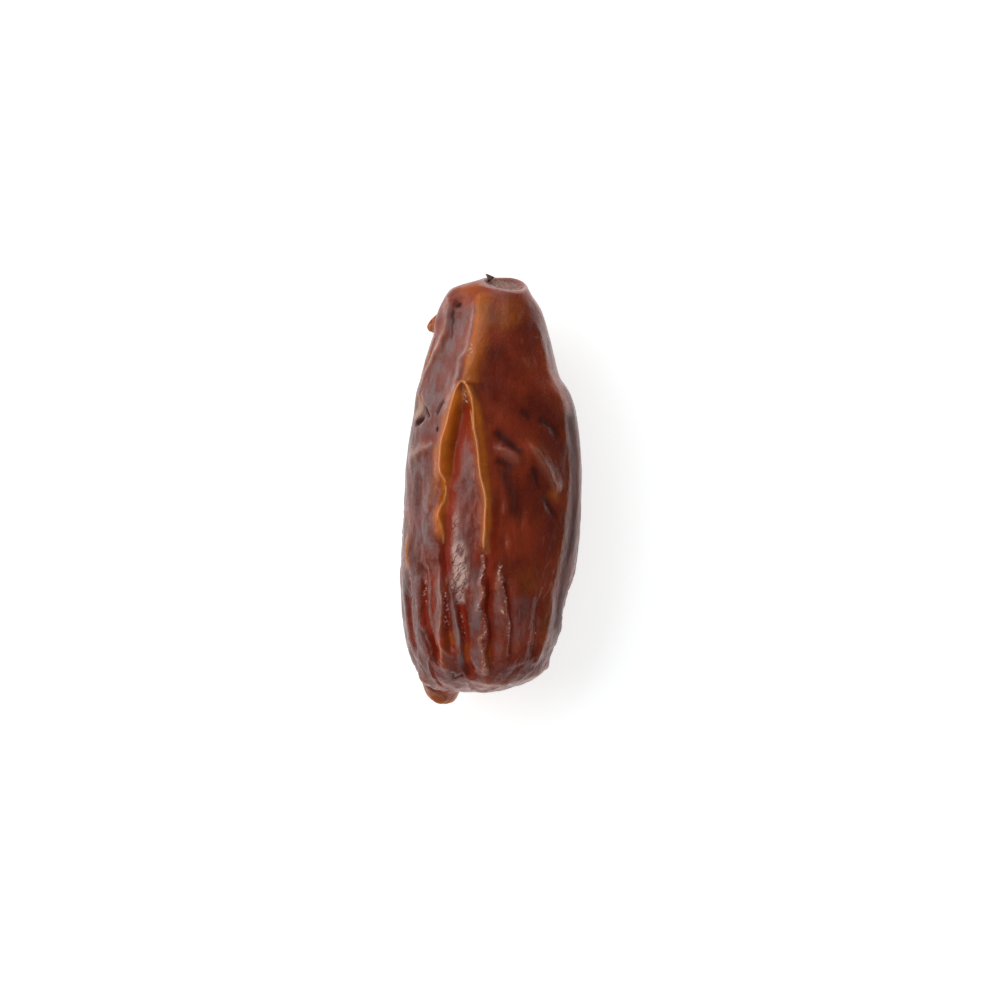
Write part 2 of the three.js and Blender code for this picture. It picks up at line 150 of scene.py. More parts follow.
def strokes(*rows: Sequence, **shape: float) -> tuple[Trace, ...]:
    """Gives traces through pixels of the picture.

    Args:
        rows: For each trace its strength, its left and its right flank, then its pixels, then a dict of the
            values in which it differs from the rest, if it has any.
        shape: Values that they share.

    Returns:
        The traces, in order.
    """
    traces = []
    for strength, left, right, *pixels in rows:
        own = pixels.pop() if isinstance(pixels[-1], dict) else {}
        traces.append(Trace(strength, left, right, seen(*pixels), **{**shape, **own}))
    return tuple(traces)


SECTIONS = (
    Section(20.3, -1.5, 3.0, 12.0, 7.4),
    Section(19.6, -3.8, 3.5, 12.6, 5.6),
    Section(18.8, -4.55, 4.0, 13.0, 4.3),
    Section(17.3, -5.25, 4.95, 13.6, 2.9),
    Section(15.0, -5.75, 5.65, 14.3, 1.7),
    Section(12.6, -6.55, 6.25, 14.8, 0.9),
    Section(10.8, -7.0, 6.75, 15.0, 0.5),
    Section(9.4, -7.4, 7.7, 15.2, 0.3),
    Section(7.5, -7.65, 8.3, 15.3, 0.0),
    Section(3.2, -8.35, 8.85, 15.5, -0.2),
    Section(-1.0, -8.65, 8.9, 15.5, -0.25),
    Section(-4.7, -8.9, 8.75, 15.4, -0.2),
    Section(-8.0, -9.05, 8.25, 15.2, -0.05),
    Section(-11.0, -8.95, 7.45, 14.9, 0.25),
    Section(-14.0, -8.65, 6.95, 14.3, 0.9),
    Section(-16.4, -8.1, 6.05, 13.4, 1.7),
    Section(-17.9, -7.6, 5.35, 12.3, 2.5),
    Section(-18.9, -7.15, 4.2, 11.0, 3.3),
    Section(-19.6, -6.1, 2.4, 9.3, 4.3),
)

# Routes over the back, from the stem end down.
CROWN: Route = (
    (-0.7, 19.4), (-1.1, 18.4), (-1.1, 16.5), (-1.5, 14.7), (-1.9, 12.8), (-2.3, 11.4), (-2.7, 10.4),
)
CROWN_LEFT: Route = ((-1.7, 19.0), (-1.9, 18.0), (-1.9, 16.0), (-2.3, 14.0), (-3.0, 12.1), (-3.1, 11.4))
CROWN_RIGHT: Route = ((0.3, 19.0), (-0.2, 18.0), (-0.3, 16.0), (-0.9, 13.8), (-1.4, 12.1), (-1.9, 11.0))
LEFT_ARM: Route = (
    (-3.0, 10.1), (-3.3, 9.2), (-3.6, 7.9), (-3.85, 6.9), (-4.15, 5.6), (-4.5, 4.6), (-4.7, 3.2),
     (-4.75, 1.8),
    (-4.6, 0.9), (-4.5, 0.0),
)
LEFT_TURN: Route = ((-4.8, -1.3), (-5.0, -2.0), (-5.0, -3.0), (-4.9, -4.2), (-4.9, -5.4))
LEFT_PLEAT: Route = ((-4.9, -7.0), (-4.8, -9.5), (-4.8, -12.3), (-4.9, -14.8), (-4.7, -16.8), (-4.3, -18.4))
RIGHT_ARM: Route = (
    (-2.4, 10.1), (-2.0, 9.2), (-1.7, 8.0), (-1.6, 6.6), (-1.4, 4.7), (-1.1, 2.6), (-0.9, 0.9), (-0.6, -0.5),
    (-0.5, -2.0), (-0.6, -3.8), (-0.7, -5.4), (-0.6, -6.6),
)
MIDDLE_PLEAT: Route = (
    (-0.7, -8.4), (-0.8, -10.4), (-1.1, -11.7), (-0.6, -13.4), (-0.9, -15.0), (-0.7, -16.8), (-0.5, -18.4),
)
SHOULDER_FOLD: Route = ((-4.2, 18.8), (-4.3, 17.4), (-4.6, 15.7), (-5.1, 14.0), (-5.8, 12.6), (-6.2, 11.8))
LEFT_FLANK: Route = (
    (-6.3, 9.6), (-6.3, 7.6), (-6.1, 5.4), (-6.6, 3.0), (-7.0, 0.5), (-7.05, -4.0), (-7.0, -9.0),
     (-6.9, -14.5),
    (-6.1, -17.4),
)
RIGHT_EDGE: Route = (
    (4.3, 16.5), (5.2, 12.5), (6.2, 9.8), (6.9, 8.0), (7.1, 5.8), (7.4, 3.3), (7.5, 0.8), (7.3, -1.6),
    (7.0, -4.1), (6.6, -6.3), (6.1, -9.0), (5.7, -11.5), (5.3, -14.0), (4.7, -16.0), (4.0, -17.6),
)

# The crown with the flat facet at its left, and the forked fold with its hollow.
CROWN_FOLDS = (
    Trace(0.4, 0.8, 1.9, CROWN, sink=0),
    Trace(-0.5, 1.9, 1.2, ((-3.1, 18.0), (-3.5, 15.8), (-4.2, 13.4), (-4.8, 11.0), (-5.3, 8.8),
          (-5.7, 6.8)), sink=4),
    Trace(0.35, 0.5, 0.45, SHOULDER_FOLD),
    Trace(-0.3, 0.34, 0.34, ((-3.2, 18.4), (-3.7, 17.4), (-4.0, 16.4), (-4.2, 14.8))),
    Trace(0.15, 0.7, 0.7, ((2.1, 13.4), (2.8, 12.6), (3.5, 11.9), (3.7, 10.8))),
    Trace(0.6, 0.8, 0.5, (CROWN[-1], *LEFT_ARM), rise=0.4),
    Trace(0.5, 0.7, 0.5, LEFT_TURN),
    Trace(0.6, 0.5, 0.7, (CROWN[-1], *RIGHT_ARM), rise=0.4),
    Trace(-0.6, 0.5, 1.1, ((-2.8, 8.8), (-3.1, 7.2), (-3.4, 5.6), (-3.7, 4.0), (-4.0, 2.0), (-4.3, 0.2))),
    Trace(-0.5, 0.45, 0.8, ((-4.3, 0.2), (-4.55, -1.8), (-4.65, -4.0), (-4.6, -6.5), (-4.5, -9.5))),
)

# The left flank, by the torn place and below it.
LEFT_FOLDS = (
    Trace(0.25, 0.4, 0.8, ((-7.0, 9.1), (-6.6, 8.3), (-6.1, 7.6))),
    Trace(-0.4, 0.35, 0.35, ((-4.6, 8.7), (-5.0, 8.1), (-5.3, 7.5))),
    Trace(0.35, 0.6, 0.6, ((-8.2, 2.4), (-7.3, 3.4), (-6.4, 4.0), (-5.6, 4.8))),
    Trace(-0.25, 0.4, 0.4, ((-6.9, 2.3), (-7.0, 0.5), (-7.1, -1.4), (-7.1, -3.6))),
    Trace(0.2, 0.6, 0.6, ((-6.1, 2.0), (-5.9, 0.0), (-6.1, -3.0))),
    Trace(0.3, 0.4, 0.4, ((-8.1, -4.0), (-8.2, -6.0), (-8.2, -8.4))),
)

# Dents and slanting folds of the right shoulder, and the rounded right edge.
RIGHT_FOLDS = (
    Trace(-0.3, 0.65, 0.65, ((-0.1, 5.8), (0.8, 5.1), (1.6, 4.5), (2.4, 3.9), (3.3, 2.9))),
    Trace(-0.25, 0.5, 0.5, ((2.7, 7.6), (3.3, 7.2), (3.8, 6.8))),
    Trace(-0.22, 0.55, 0.6, ((4.2, 6.8), (5.1, 6.5), (5.9, 6.0), (6.7, 4.6))),
    Trace(0.25, 0.5, 0.5, ((-0.1, 4.2), (1.3, 3.7), (2.5, 3.0), (2.9, 2.0))),
    Trace(-0.25, 0.65, 0.6, ((0.1, 2.9), (1.1, 2.5), (1.9, 1.8), (2.1, 1.0))),
    Trace(-0.22, 0.5, 0.5, ((3.8, 2.3), (4.4, 1.3), (4.7, 0.3), (4.9, -0.6))),
    Trace(-0.25, 0.5, 0.55, ((4.8, -0.3), (5.5, -1.4), (6.0, -2.4), (6.5, -3.2))),
    Trace(0.3, 0.6, 0.8, ((3.2, 4.8), (4.1, 4.0), (4.8, 3.0), (5.3, 2.0), (5.7, 0.9), (6.4, 0.1),
          (7.0, -0.5))),
    Trace(-0.2, 0.5, 0.5, ((0.8, 0.0), (0.9, -1.4), (0.8, -3.0))),
    Trace(-0.2, 0.4, 0.4, ((2.8, -1.2), (2.9, -3.2), (2.6, -4.6))),
    Trace(-0.2, 0.4, 0.4, ((1.2, -3.8), (1.3, -5.2), (1.3, -6.6))),
    Trace(0.2, 0.7, 0.7, RIGHT_EDGE),
    Trace(-0.1, 0.4, 0.4, ((7.9, 6.0), (8.2, 3.3), (8.3, 0.3), (8.1, -2.4), (7.8, -4.6))),
)

# The pleats of the blossom half, from left to right, and the hem of the blossom end.
PLEATS = (
    Trace(-0.45, 0.45, 0.45, ((-8.3, -9.4), (-8.2, -12.0), (-7.9, -14.6), (-7.2, -16.8))),
    Trace(-0.55, 0.4, 0.5, ((-6.7, -7.0), (-6.7, -9.5), (-6.7, -12.0), (-6.4, -13.6), (-5.9, -14.9),
          (-5.5, -16.2),
                            (-4.8, -17.0))),
    Trace(0.3, 0.6, 0.45, LEFT_PLEAT),
    Trace(-0.45, 0.4, 0.45, ((-4.4, -10.0), (-4.3, -12.6), (-4.2, -14.6), (-3.8, -16.4))),
    Trace(-0.55, 0.4, 0.55, ((-3.5, -10.0), (-3.2, -11.2), (-2.8, -13.2), (-2.6, -15.2), (-2.5, -17.0),
          (-1.7, -18.7)),
          power=2.2),
    Trace(0.25, 0.9, 0.45, MIDDLE_PLEAT),
    Trace(-0.5, 0.35, 0.5, ((-0.2, -8.0), (-0.2, -10.2), (-0.3, -12.2), (0.0, -14.2), (-0.2, -16.4),
          (0.1, -18.4))),
    Trace(0.25, 0.7, 0.4, ((0.9, -7.4), (0.9, -9.4), (1.2, -11.2), (1.5, -13.0))),
    Trace(-0.4, 0.4, 0.5, ((1.4, -8.2), (1.7, -10.6), (2.0, -12.8), (2.1, -15.0), (1.7, -17.2))),
    Trace(-0.35, 0.5, 0.5, ((4.6, -10.4), (4.4, -12.6), (4.4, -14.6), (3.9, -16.8))),
    Trace(-0.2, 0.45, 0.45, ((3.2, -11.0), (3.0, -13.4), (3.0, -15.6))),
    Trace(-0.5, 0.6, 0.6, ((176, -17.6), (190, -18.6), (206, -19.2), (228, -19.5),
          (258, -19.6)), place=Place.ROUND),
    Trace(0.2, 0.8, 0.8, ((95, -18.9), (60, -18.9), (35, -18.4), (12, -17.6), (0, -16.4)), place=Place.ROUND),
)

PLEAT_SETS = (
    PleatSet(11, 192, 356, 13, 5, (0.25, 0.5), (0.5, 0.8), (0, 13), -18.8),
    PleatSet(5, 172, 372, 9, 4, (0.2, 0.4), (0.4, 0.6), (-17.5, -15), -19.95),
)
PLEAT_POINTS = 7
PLEAT_SWING = 4.5  # how far along its wave a pleat runs, in radians

# The random draws' linear congruential generator.
DRAW_FACTOR, DRAW_STEP, DRAW_RANGE = 1664525, 1013904223, 2**32

SPOTS = (
    Spot(0.3, 0.9, (-5.3, 16.2)),
    Spot(-0.4, 0.6, (-3.3, 18.2)),
    Spot(-0.5, 0.9, (-7.0, 7.8)),
    Spot(-0.4, 0.5, (-6.5, 7.2)),
    Spot(0.25, 3.2, (2.3, 14.5)),
    Spot(0.2, 1.6, (5.2, -12.0)),
)

# Lines over the skin that more than one table uses, as the picture shows them, in pixels.
FACET_EDGE = ((474, 300), (474, 314), (473, 325), (470, 339), (467, 351), (461, 359), (460, 368), (458, 378))
TEAR_EDGE = ((421, 393), (426, 404), (430, 413), (434, 416))
HEM = ((418, 675), (428, 684), (438, 690), (455, 689), (465, 686))
END_RIM = ((460, 684), (467, 683), (471, 688), (481, 692), (495, 689), (501, 685), (515, 678))
OUTER_PLEAT = ((420, 560), (419, 580), (418, 600), (419, 620), (425, 634), (432, 651))
THIN_PLEAT = ((439, 562), (441, 575), (443, 600), (442, 620), (441, 640))
INNER_PLEAT = ((449, 585), (452, 598), (455, 612), (458, 630), (460, 650), (461, 662))
CORNER_FOLD = ((545, 640), (540, 650), (536, 660), (535, 668))
CORNER_BEND = ((557, 643), (548, 650), (541, 656))
SLANTED_FOLD = ((525, 440), (533, 448), (540, 458), (546, 468), (550, 480), (556, 487), (563, 493))
CROSSING_FOLD = ((490, 446), (505, 451), (518, 459), (521, 467))
HEM_FOLD = ((430, 662), (433, 671), (439, 684), (449, 689))
HOOK = ((452, 672), (454, 678), (459, 677), (464, 674))
LEFT_CREST = (
    (463.5, 382), (458.5, 391), (456, 398), (453, 409), (451, 419), (448.5, 429), (445.5, 439), (444, 447),
    (443.5, 455), (443, 466), (444, 474), (446.5, 481), (446.5, 485),
)
RIGHT_CREST = (
    (463.5, 382), (469, 388), (473, 398), (474, 409), (474.5, 417), (475.5, 431), (478, 445), (479, 457),
    (480, 468), (481, 476), (483, 484), (485, 492), (486, 500), (485, 520), (485, 530), (484, 540),
    (484, 552),
)
TURN_CREST = (
    (447, 484), (446.5, 490), (444, 499), (441, 507), (440.5, 515), (442, 525), (443, 535), (442, 546),
)
MIDDLE_RIM = (
    (484, 553), (483, 575), (481, 583), (484, 588), (483, 597), (478, 608), (484, 612), (486, 623),
    (485, 634), (481, 639), (483, 650), (485, 665), (481, 679),
)
NEXT_RIM = (
    (502, 561), (500, 575), (503, 585), (506, 596), (506, 605), (502, 609), (508, 615), (509, 627),
    (508, 642),
)

# Thin crests that only the fine skin can hold.
CRESTS = strokes(
    (0.2, 0.1, 0.1, *LEFT_CREST, dict(rise=0.1)),
    (0.22, 0.1, 0.1, *RIGHT_CREST, dict(rise=0.1, sink=0.8)),
    (0.14, 0.12, 0.12, *TURN_CREST, dict(rise=0.5)),
    (0.13, 0.12, 0.12, (470, 408), (473, 422), (473.5, 434), dict(rise=0.5)),
    (0.1, 0.12, 0.12, (474, 470), (474, 483), dict(rise=0.3, sink=0.3)),
    sink=0.5,
)

# Its thin folds, cracks and pits.
FINE_FOLDS = strokes(
    (0.12, 0.2, 0.12, *FACET_EDGE, (454, 388), dict(sink=0.6)),
    (0.14, 0.2, 0.14, *MIDDLE_RIM, dict(rise=0.4)),
    (0.12, 0.2, 0.14, *NEXT_RIM, dict(rise=0.4)),
    (0.12, 0.12, 0.2, *INNER_PLEAT),
    (0.12, 0.12, 0.12, *THIN_PLEAT, (447, 653), (455, 658)),
    (0.12, 0.12, 0.12, *OUTER_PLEAT, (429, 661), (430, 671), (438, 684)),
    (-0.2, 0.15, 0.15, (408, 555), (410, 598), (409, 606), (410, 625), (411, 632), (419, 641)),
    (-0.25, 0.2, 0.2, (429, 626), (430, 634), (433, 650), (438, 661), (445, 663), (452, 661)),
    (-0.2, 0.2, 0.15, *HEM_FOLD),
    (-0.15, 0.15, 0.15, (413, 655), (418, 663), (425, 673), (428, 679)),
    (-0.15, 0.12, 0.12, (433, 580), (433, 600), dict(rise=0.6, sink=0.6)),
    (-0.2, 0.15, 0.15, *HOOK, dict(rise=0.3, sink=0.3)),
    (-0.25, 0.15, 0.15, (446, 400), (442, 404), (438, 411), (436, 416), dict(rise=0.4, sink=0.4)),
    (-0.2, 0.12, 0.12, (438, 426), (437, 433), dict(rise=0.2, sink=0.2)),
    (-0.15, 0.12, 0.12, (437, 333), (434, 342), (431, 352), (427, 362), (424, 370)),
    (0.2, 0.15, 0.15, *TEAR_EDGE, dict(rise=0.3, sink=0.2)),
    (-0.3, 0.25, 0.25, (424, 409), (428, 415), dict(rise=0, sink=0, power=3.0)),
    (-0.6, 0.25, 0.25, (421, 420), (417, 423), dict(rise=0, sink=0, power=3.0)),
    (-0.15, 0.12, 0.12, (523, 647), (519, 657), (515, 664)),
    (0.14, 0.15, 0.15, *CORNER_FOLD),
    (0.12, 0.15, 0.15, *CORNER_BEND),
    (0.15, 0.2, 0.2, *END_RIM),
    (0.15, 0.2, 0.2, (417, 668), *HEM),
    (0.12, 0.25, 0.25, *SLANTED_FOLD),
    (0.12, 0.25, 0.25, *CROSSING_FOLD),
    (0.1, 0.3, 0.3, (500, 480), (515, 485), (528, 490)),
    (0.1, 0.3, 0.3, (546, 380), (553, 392), (560, 398), (562, 405)),
)

# Thin pale lines: where the skin is drawn tight, and painted highlights along crests and rims.
PALE_AND_HIGHLIGHT = strokes(
    (0.9, 0.4, 0.15, *FACET_EDGE, (454, 390), (451, 400), (446, 412), (443, 424), dict(sink=2.0)),
    (0.9, 0.15, 0.2, (461, 284), (452, 290), (446.5, 296), (449, 306), (447.5, 314), (446, 323), (444, 331),
     (438, 343), (431, 355), (426, 367), (421, 379), (417, 391)),
    (0.9, 0.2, 0.2, (434, 441), (428, 447), (422, 450), (416, 455), (410, 461), dict(rise=0.5, sink=0.5)),
    (0.7, 0.15, 0.15, (417, 667), *HEM, dict(rise=0.5)),
    (0.7, 0.15, 0.15, *END_RIM, (532, 669), dict(rise=0.5)),
    (0.7, 0.1, 0.12, *INNER_PLEAT),
    (0.7, 0.1, 0.1, (442, 645), (447, 653), (455, 658), dict(rise=0.4, sink=0.4)),
    (0.5, 0.12, 0.12, *THIN_PLEAT),
    (0.5, 0.12, 0.12, *OUTER_PLEAT),
    (0.5, 0.25, 0.08, *MIDDLE_RIM),
    (0.5, 0.25, 0.08, *NEXT_RIM),
    (0.5, 0.12, 0.12, *CORNER_FOLD, dict(rise=0.4)),
    (0.5, 0.12, 0.12, *CORNER_BEND, dict(rise=0.4)),
    (0.35, 0.25, 0.2, *SLANTED_FOLD),
    (0.35, 0.2, 0.2, *CROSSING_FOLD),
    (0.3, 0.2, 0.2, (546, 380), (553, 392), (560, 398), (563, 410), (565, 430), (564, 460), (563, 500)),
    (0.3, 0.07, 0.07, (525, 297), (530, 303), (536, 309), dict(rise=0.5, sink=0.5)),
    (0.35, 0.12, 0.12, (518, 321), (521, 315), (525, 312), dict(rise=0.2, sink=0.2)),
    (0.45, 0.06, 0.06, (533, 338), (538, 340), (541, 343), dict(rise=0.2, sink=0.2)),
    (0.35, 0.06, 0.06, (521, 339), (521.5, 345), dict(rise=0.1, sink=0.1)),
    (0.3, 0.15, 0.15, (520, 357), (525, 363), (529, 370), dict(rise=0.3, sink=0.3)),
    (0.8, 0.15, 0.25, (421, 569), (422, 578), (424, 587), dict(rise=0.2, sink=0.5)),
    (0.6, 0.12, 0.12, *TEAR_EDGE, (441, 404), dict(rise=0.3, sink=0.3)),
)

# Painted glow: the amber is painted brightest right beside the thin crests, for light shining through the
# skin.
PAINTED_GLOW_STROKES = strokes(
    (0.9, 0.12, 0.3, *LEFT_CREST),
    (0.5, 0.15, 0.15, *RIGHT_CREST),
    (0.35, 0.4, 0.15, *TURN_CREST),
)

# Where the skin is raised and thin, the flesh under it glows amber.
AMBER = strokes(
    (0.85, 0.45, 1.1, (481, 290), (480, 302), (479.5, 314), (478, 327), (476, 340), (473, 352), (470, 362),
     (468, 374), (466.5, 385), dict(rise=0.8, sink=0.3, power=2.4)),
    (1.0, 0.6, 0.5, (461, 390), (457.5, 402), (454, 416), (450, 430), (447, 445), (446, 460), (446.5, 478),
     dict(rise=0.4, sink=0.8, power=1.8)),
    (1.0, 0.5, 0.35, (446, 490), (443, 503), (441, 515), (441, 530), (440, 545), dict(rise=0.4)),
    (0.9, 0.5, 0.35, (446, 472), (446, 482), (445, 494), dict(rise=0.4, sink=0.4)),
    (0.8, 0.35, 0.32, (469, 387), (475, 402), (478, 415), (480.5, 430), (482.5, 445), (484, 460),
     (486, 478), (487.5, 495), (488, 515), (487.5, 535), (487, 556), dict(rise=0.3, sink=0.8, power=2.5)),
    (0.75, 0.3, 0.35, (409, 526), (408, 545), (407, 560), (407, 580), dict(rise=2.2, sink=2.2, power=1.5)),
    (0.5, 0.4, 0.4, (437, 438), (437, 460), (436, 480), (434, 502)),
    (0.45, 0.9, 0.9, (453, 295), (462, 290), (474, 289), (488, 295), dict(power=2.5)),
    (0.4, 2.0, 2.0, (492, 300), (505, 315), (516, 336)),
    (0.5, 0.5, 0.6, (548, 488), (556, 497), (561, 508), dict(rise=0.8)),
    (0.25, 1.2, 1.2, (520, 560), (528, 580), (534, 600)),
    (0.15, 0.6, 0.8, (545, 595), (545, 615), (540, 640), (534, 655)),
    (0.35, 0.35, 0.35, (490, 640), (489, 655), (487, 668), (484, 680)),
    (0.6, 0.3, 0.3, (449, 630), (450, 638), (453, 646), dict(rise=0.4, sink=0.4)),
    (0.4, 0.35, 0.35, (465, 640), (466, 655), (468, 668), dict(rise=0.6, sink=0.6)),
    (0.7, 0.3, 0.3, (418, 396), (419, 402), dict(rise=0, sink=0)),
    (0.4, 0.3, 0.3, (419, 674), (424, 680), (431, 685), dict(rise=0.4, sink=0.4)),
    (0.6, 0.3, 0.25, (434, 342), (429, 355), (425, 368), (421, 380), (418, 392)),
    power=2.0,
)

# Deep red: hollows, and skin that lies loose over the flesh.
DEEP = strokes(
    (1.0, 0.45, 0.5, (470, 398), (466, 412), (461, 428), (458, 445), (455, 465), (450, 490), (447, 515),
     (446, 545), (445, 585)),
    (0.9, 0.45, 0.45, (494, 495), (494, 520), (493, 545), (490, 565), (489, 600), (489, 640), (488, 676),
     dict(power=2.5)),
    (1.0, 0.3, 0.45, (457, 601), (460, 615), (463, 628), (465, 640), (466, 655), (468, 668), (475, 681),
     dict(rise=0.4, sink=0.8, power=2.5)),
    (0.9, 0.2, 0.25, (507, 570), (508, 600), (511, 620), (513, 640)),
    (0.8, 0.14, 0.14, (421, 466), (419.5, 478), (422.5, 490), (420, 502), (423, 513), (419, 524), (421, 534)),
    (1.0, 0.13, 0.16, (422, 568), (423, 598), (422, 612), (422, 625), (430, 633), (433, 650), (438, 661),
     (446, 663), dict(sink=0.5)),
    (0.9, 0.1, 0.12, (409, 570), (410, 605), (411, 632)),
    (0.9, 0.2, 0.2, (446, 585), (446, 612), (448, 634), dict(rise=0.6, sink=0.6)),
    (0.8, 0.2, 0.2, (433, 572), (434, 600), (434, 615), dict(rise=0.6, sink=0.6)),
    (0.8, 0.2, 0.2, *HEM_FOLD, dict(rise=0.4, sink=0.6)),
    power=2.0,
)

# Painted shade in dark maroon: the dents of the right shoulder, under its folds, the right edge, above the
# lip.
SHADE = strokes(
    (0.9, 0.5, 0.9, (497, 462), (506, 480), (512, 500), (512, 525), dict(power=2.0)),
    (1.0, 0.35, 0.45, (492, 429), (500, 436), (508, 443), (516, 449), (526, 457),
     dict(rise=0.6, sink=0.8, power=2.5)),
    (1.0, 0.3, 0.35, (520, 411), (524, 414), (530, 419), dict(rise=0.3, sink=0.3, power=2.5)),
    (1.0, 0.3, 0.4, (536, 419), (543, 423), (551, 427), (556, 435), (560, 442),
     dict(rise=0.5, sink=0.8, power=2.5)),
    (0.9, 0.4, 0.45, (492, 459), (503, 463), (511, 470), (512, 476), dict(rise=0.6, sink=0.6, power=2.5)),
    (0.9, 0.3, 0.35, (530, 465), (536, 475), (539, 485), (541, 495), dict(rise=0.6, sink=0.8, power=2.5)),
    (0.9, 0.35, 0.4, (540, 492), (548, 503), (553, 513), (558, 521), dict(rise=0.6, sink=0.8, power=2.5)),
    (0.4, 1.6, 1.6, (542, 430), (545, 470), (540, 500), (530, 530)),
    (0.5, 0.6, 0.6, (493, 352), (496, 356), (500, 352), dict(rise=0, sink=0, power=2.0)),
    (0.8, 0.15, 0.15, (422, 677), (429, 686), (438, 691), (455, 691), dict(rise=0.3, sink=0.3)),
    (0.4, 0.5, 0.5, (494, 385), (495, 400), (497, 412), dict(power=2.0)),
    (1.0, 1.0, 2.0, (566, 405), (572, 440), (573, 480), (573, 520), (568, 560), (560, 600), (552, 640)),
)

# Painted shade in the dark openings and cracks of the skin.
DARK = strokes(
    (1.0, 0.42, 0.4, (460, 301), (458, 304), (455.5, 309), dict(rise=0.25, sink=0.25, power=2.5)),
    (0.8, 0.16, 0.14, (454, 311), (451, 316), (452, 321), (450, 326), (450, 332), (448.5, 340),
     dict(rise=0.1, sink=0.3)),
    (0.9, 0.12, 0.1, (446, 400), (442, 404), (438, 411), (436, 417), dict(rise=0.3, sink=0.3)),
    (0.9, 0.12, 0.12, (438, 427), (437, 433), dict(rise=0.2, sink=0.2)),
    (1.0, 0.3, 0.3, (423, 408), (427, 416), dict(rise=0, sink=0, power=3.0)),
    (1.0, 0.3, 0.3, (421, 419), (416, 423), dict(rise=0, sink=0, power=3.0)),
    (0.7, 0.15, 0.15, *HOOK, dict(rise=0.3, sink=0.3)),
)

# Pale flesh in the torn place.
FLESH = strokes(
    (1.0, 0.5, 0.35, (418, 405), (417, 411), (415, 416)),
    rise=0, sink=0, power=4.0,
)

# A dull bloom of wax with a painted sheen of reflected light: on the facet, down the left side, over the
# pleats and along the right edge.
BLOOM_AND_SHEEN = strokes(
    (1.0, 1.6, 1.6, (457, 300), (453, 325), (447, 350), (440, 375), (432, 405), (424, 440)),
    (0.85, 1.3, 1.3, (422, 440), (424, 480), (424, 520), (424, 560), dict(power=3.0)),
    (0.6, 0.8, 0.9, (470, 430), (467, 480), (465, 520), (464, 560), (464, 595), dict(power=3.0)),
    (0.9, 0.35, 0.35, (403, 555), (403, 600), (405, 640), (411, 665)),
    (0.9, 0.4, 0.4, (415, 560), (415, 600), (416, 630), (421, 650), (425, 668)),
    (0.7, 0.35, 0.35, (428, 575), (428, 600), (428, 620), (436, 640)),
    (0.8, 0.4, 0.4, (440, 565), (440, 600), (438, 625), (441, 648)),
    (1.0, 0.4, 0.4, (452, 590), (453, 610), (456, 630), (460, 650), (463, 672)),
    (1.0, 0.6, 0.55, (476, 560), (476, 600), (476, 620), (477, 650), (478, 672)),
    (0.7, 0.55, 0.55, (498, 575), (498, 600), (499, 630), (500, 660)),
    (0.6, 1.0, 1.0, (525, 590), (520, 615), (516, 650), dict(power=3.0)),
    (0.7, 0.5, 0.5, (553, 590), (552, 620), (548, 645), dict(power=3.0)),
    (0.25, 1.0, 1.0, (420, 650), (432, 672), (450, 680), dict(power=3.0)),
    (0.4, 0.4, 0.4, (460, 684), (471, 688), (485, 691), (500, 686), (530, 673), (548, 664), dict(power=2.0)),
    power=4.0,
)

# A tight, glossy glaze that has crackled, with a painted highlight on it.
GLAZE_AND_HIGHLIGHT = strokes(
    (1.0, 0.85, 0.85, (458, 535), (459, 560), (460, 575), (460, 590), dict(rise=1.4, sink=0.3, power=5.0)),
    (1.0, 0.5, 0.5, (460, 588), (460, 606), dict(rise=0, sink=0.5, power=4.0)),
    (0.5, 0.4, 0.5, (455, 505), (455, 525), (455, 545), dict(rise=1.0, sink=0, power=3.0)),
)

# Rims with painted glints, as of tiny facets.
GLINTS = strokes(
    (1.0, 0.2, 0.15, *MIDDLE_RIM),
    (1.0, 0.2, 0.15, *NEXT_RIM),
    (1.0, 0.15, 0.15, (445, 590), (446, 612), (446, 624), (448, 634)),
    (0.8, 0.15, 0.15, (460, 615), (463, 632), (465, 645)),
    (0.8, 0.15, 0.15, (423, 575), (422, 598), (423, 610)),
    (0.8, 0.12, 0.12, (408, 555), (409, 580), (410, 625), (419, 641)),
    (0.8, 0.12, 0.12, (429, 624), (431, 634), (433, 648)),
    (0.9, 0.2, 0.2, (472, 349), (471, 356), dict(sink=0)),
    (0.9, 0.2, 0.2, (467, 394), (467, 402), dict(sink=0)),
    (0.9, 0.15, 0.15, (538, 632), (537, 636), dict(sink=0)),
    (0.9, 0.15, 0.15, (535, 646), (533, 651), dict(sink=0)),
    (0.9, 0.15, 0.15, (453, 674), (454, 678), dict(sink=0)),
    rise=0,
)


# Patches that waver as the folds do, and patches that stay where they are, each by its mask's name.
WAVERING_PATCHES = {
    "amber": AMBER, "glow": PAINTED_GLOW_STROKES, "pale": PALE_AND_HIGHLIGHT, "deep": DEEP, "shade": SHADE, "bloom_and_sheen": BLOOM_AND_SHEEN, "glaze_and_highlight": GLAZE_AND_HIGHLIGHT,
    "glint": GLINTS,
}
STEADY_PATCHES = {"dark": DARK, "flesh": FLESH}


def finished(shape: bmesh.types.BMesh, name: str) -> bpy.types.Object:
    """Turns a shape into a smooth-shaded object of the scene.

    Args:
        shape: The shape, which is freed.
        name: The name of the object and of its mesh.

    Returns:
        The object.
    """
    mesh = bpy.data.meshes.new(name)
    shape.to_mesh(mesh)
    shape.free()
    mesh.polygons.foreach_set("use_smooth", np.ones(len(mesh.polygons), dtype=bool))
    piece = bpy.data.objects.new(name, mesh)
    bpy.context.scene.collection.objects.link(piece)
    return piece


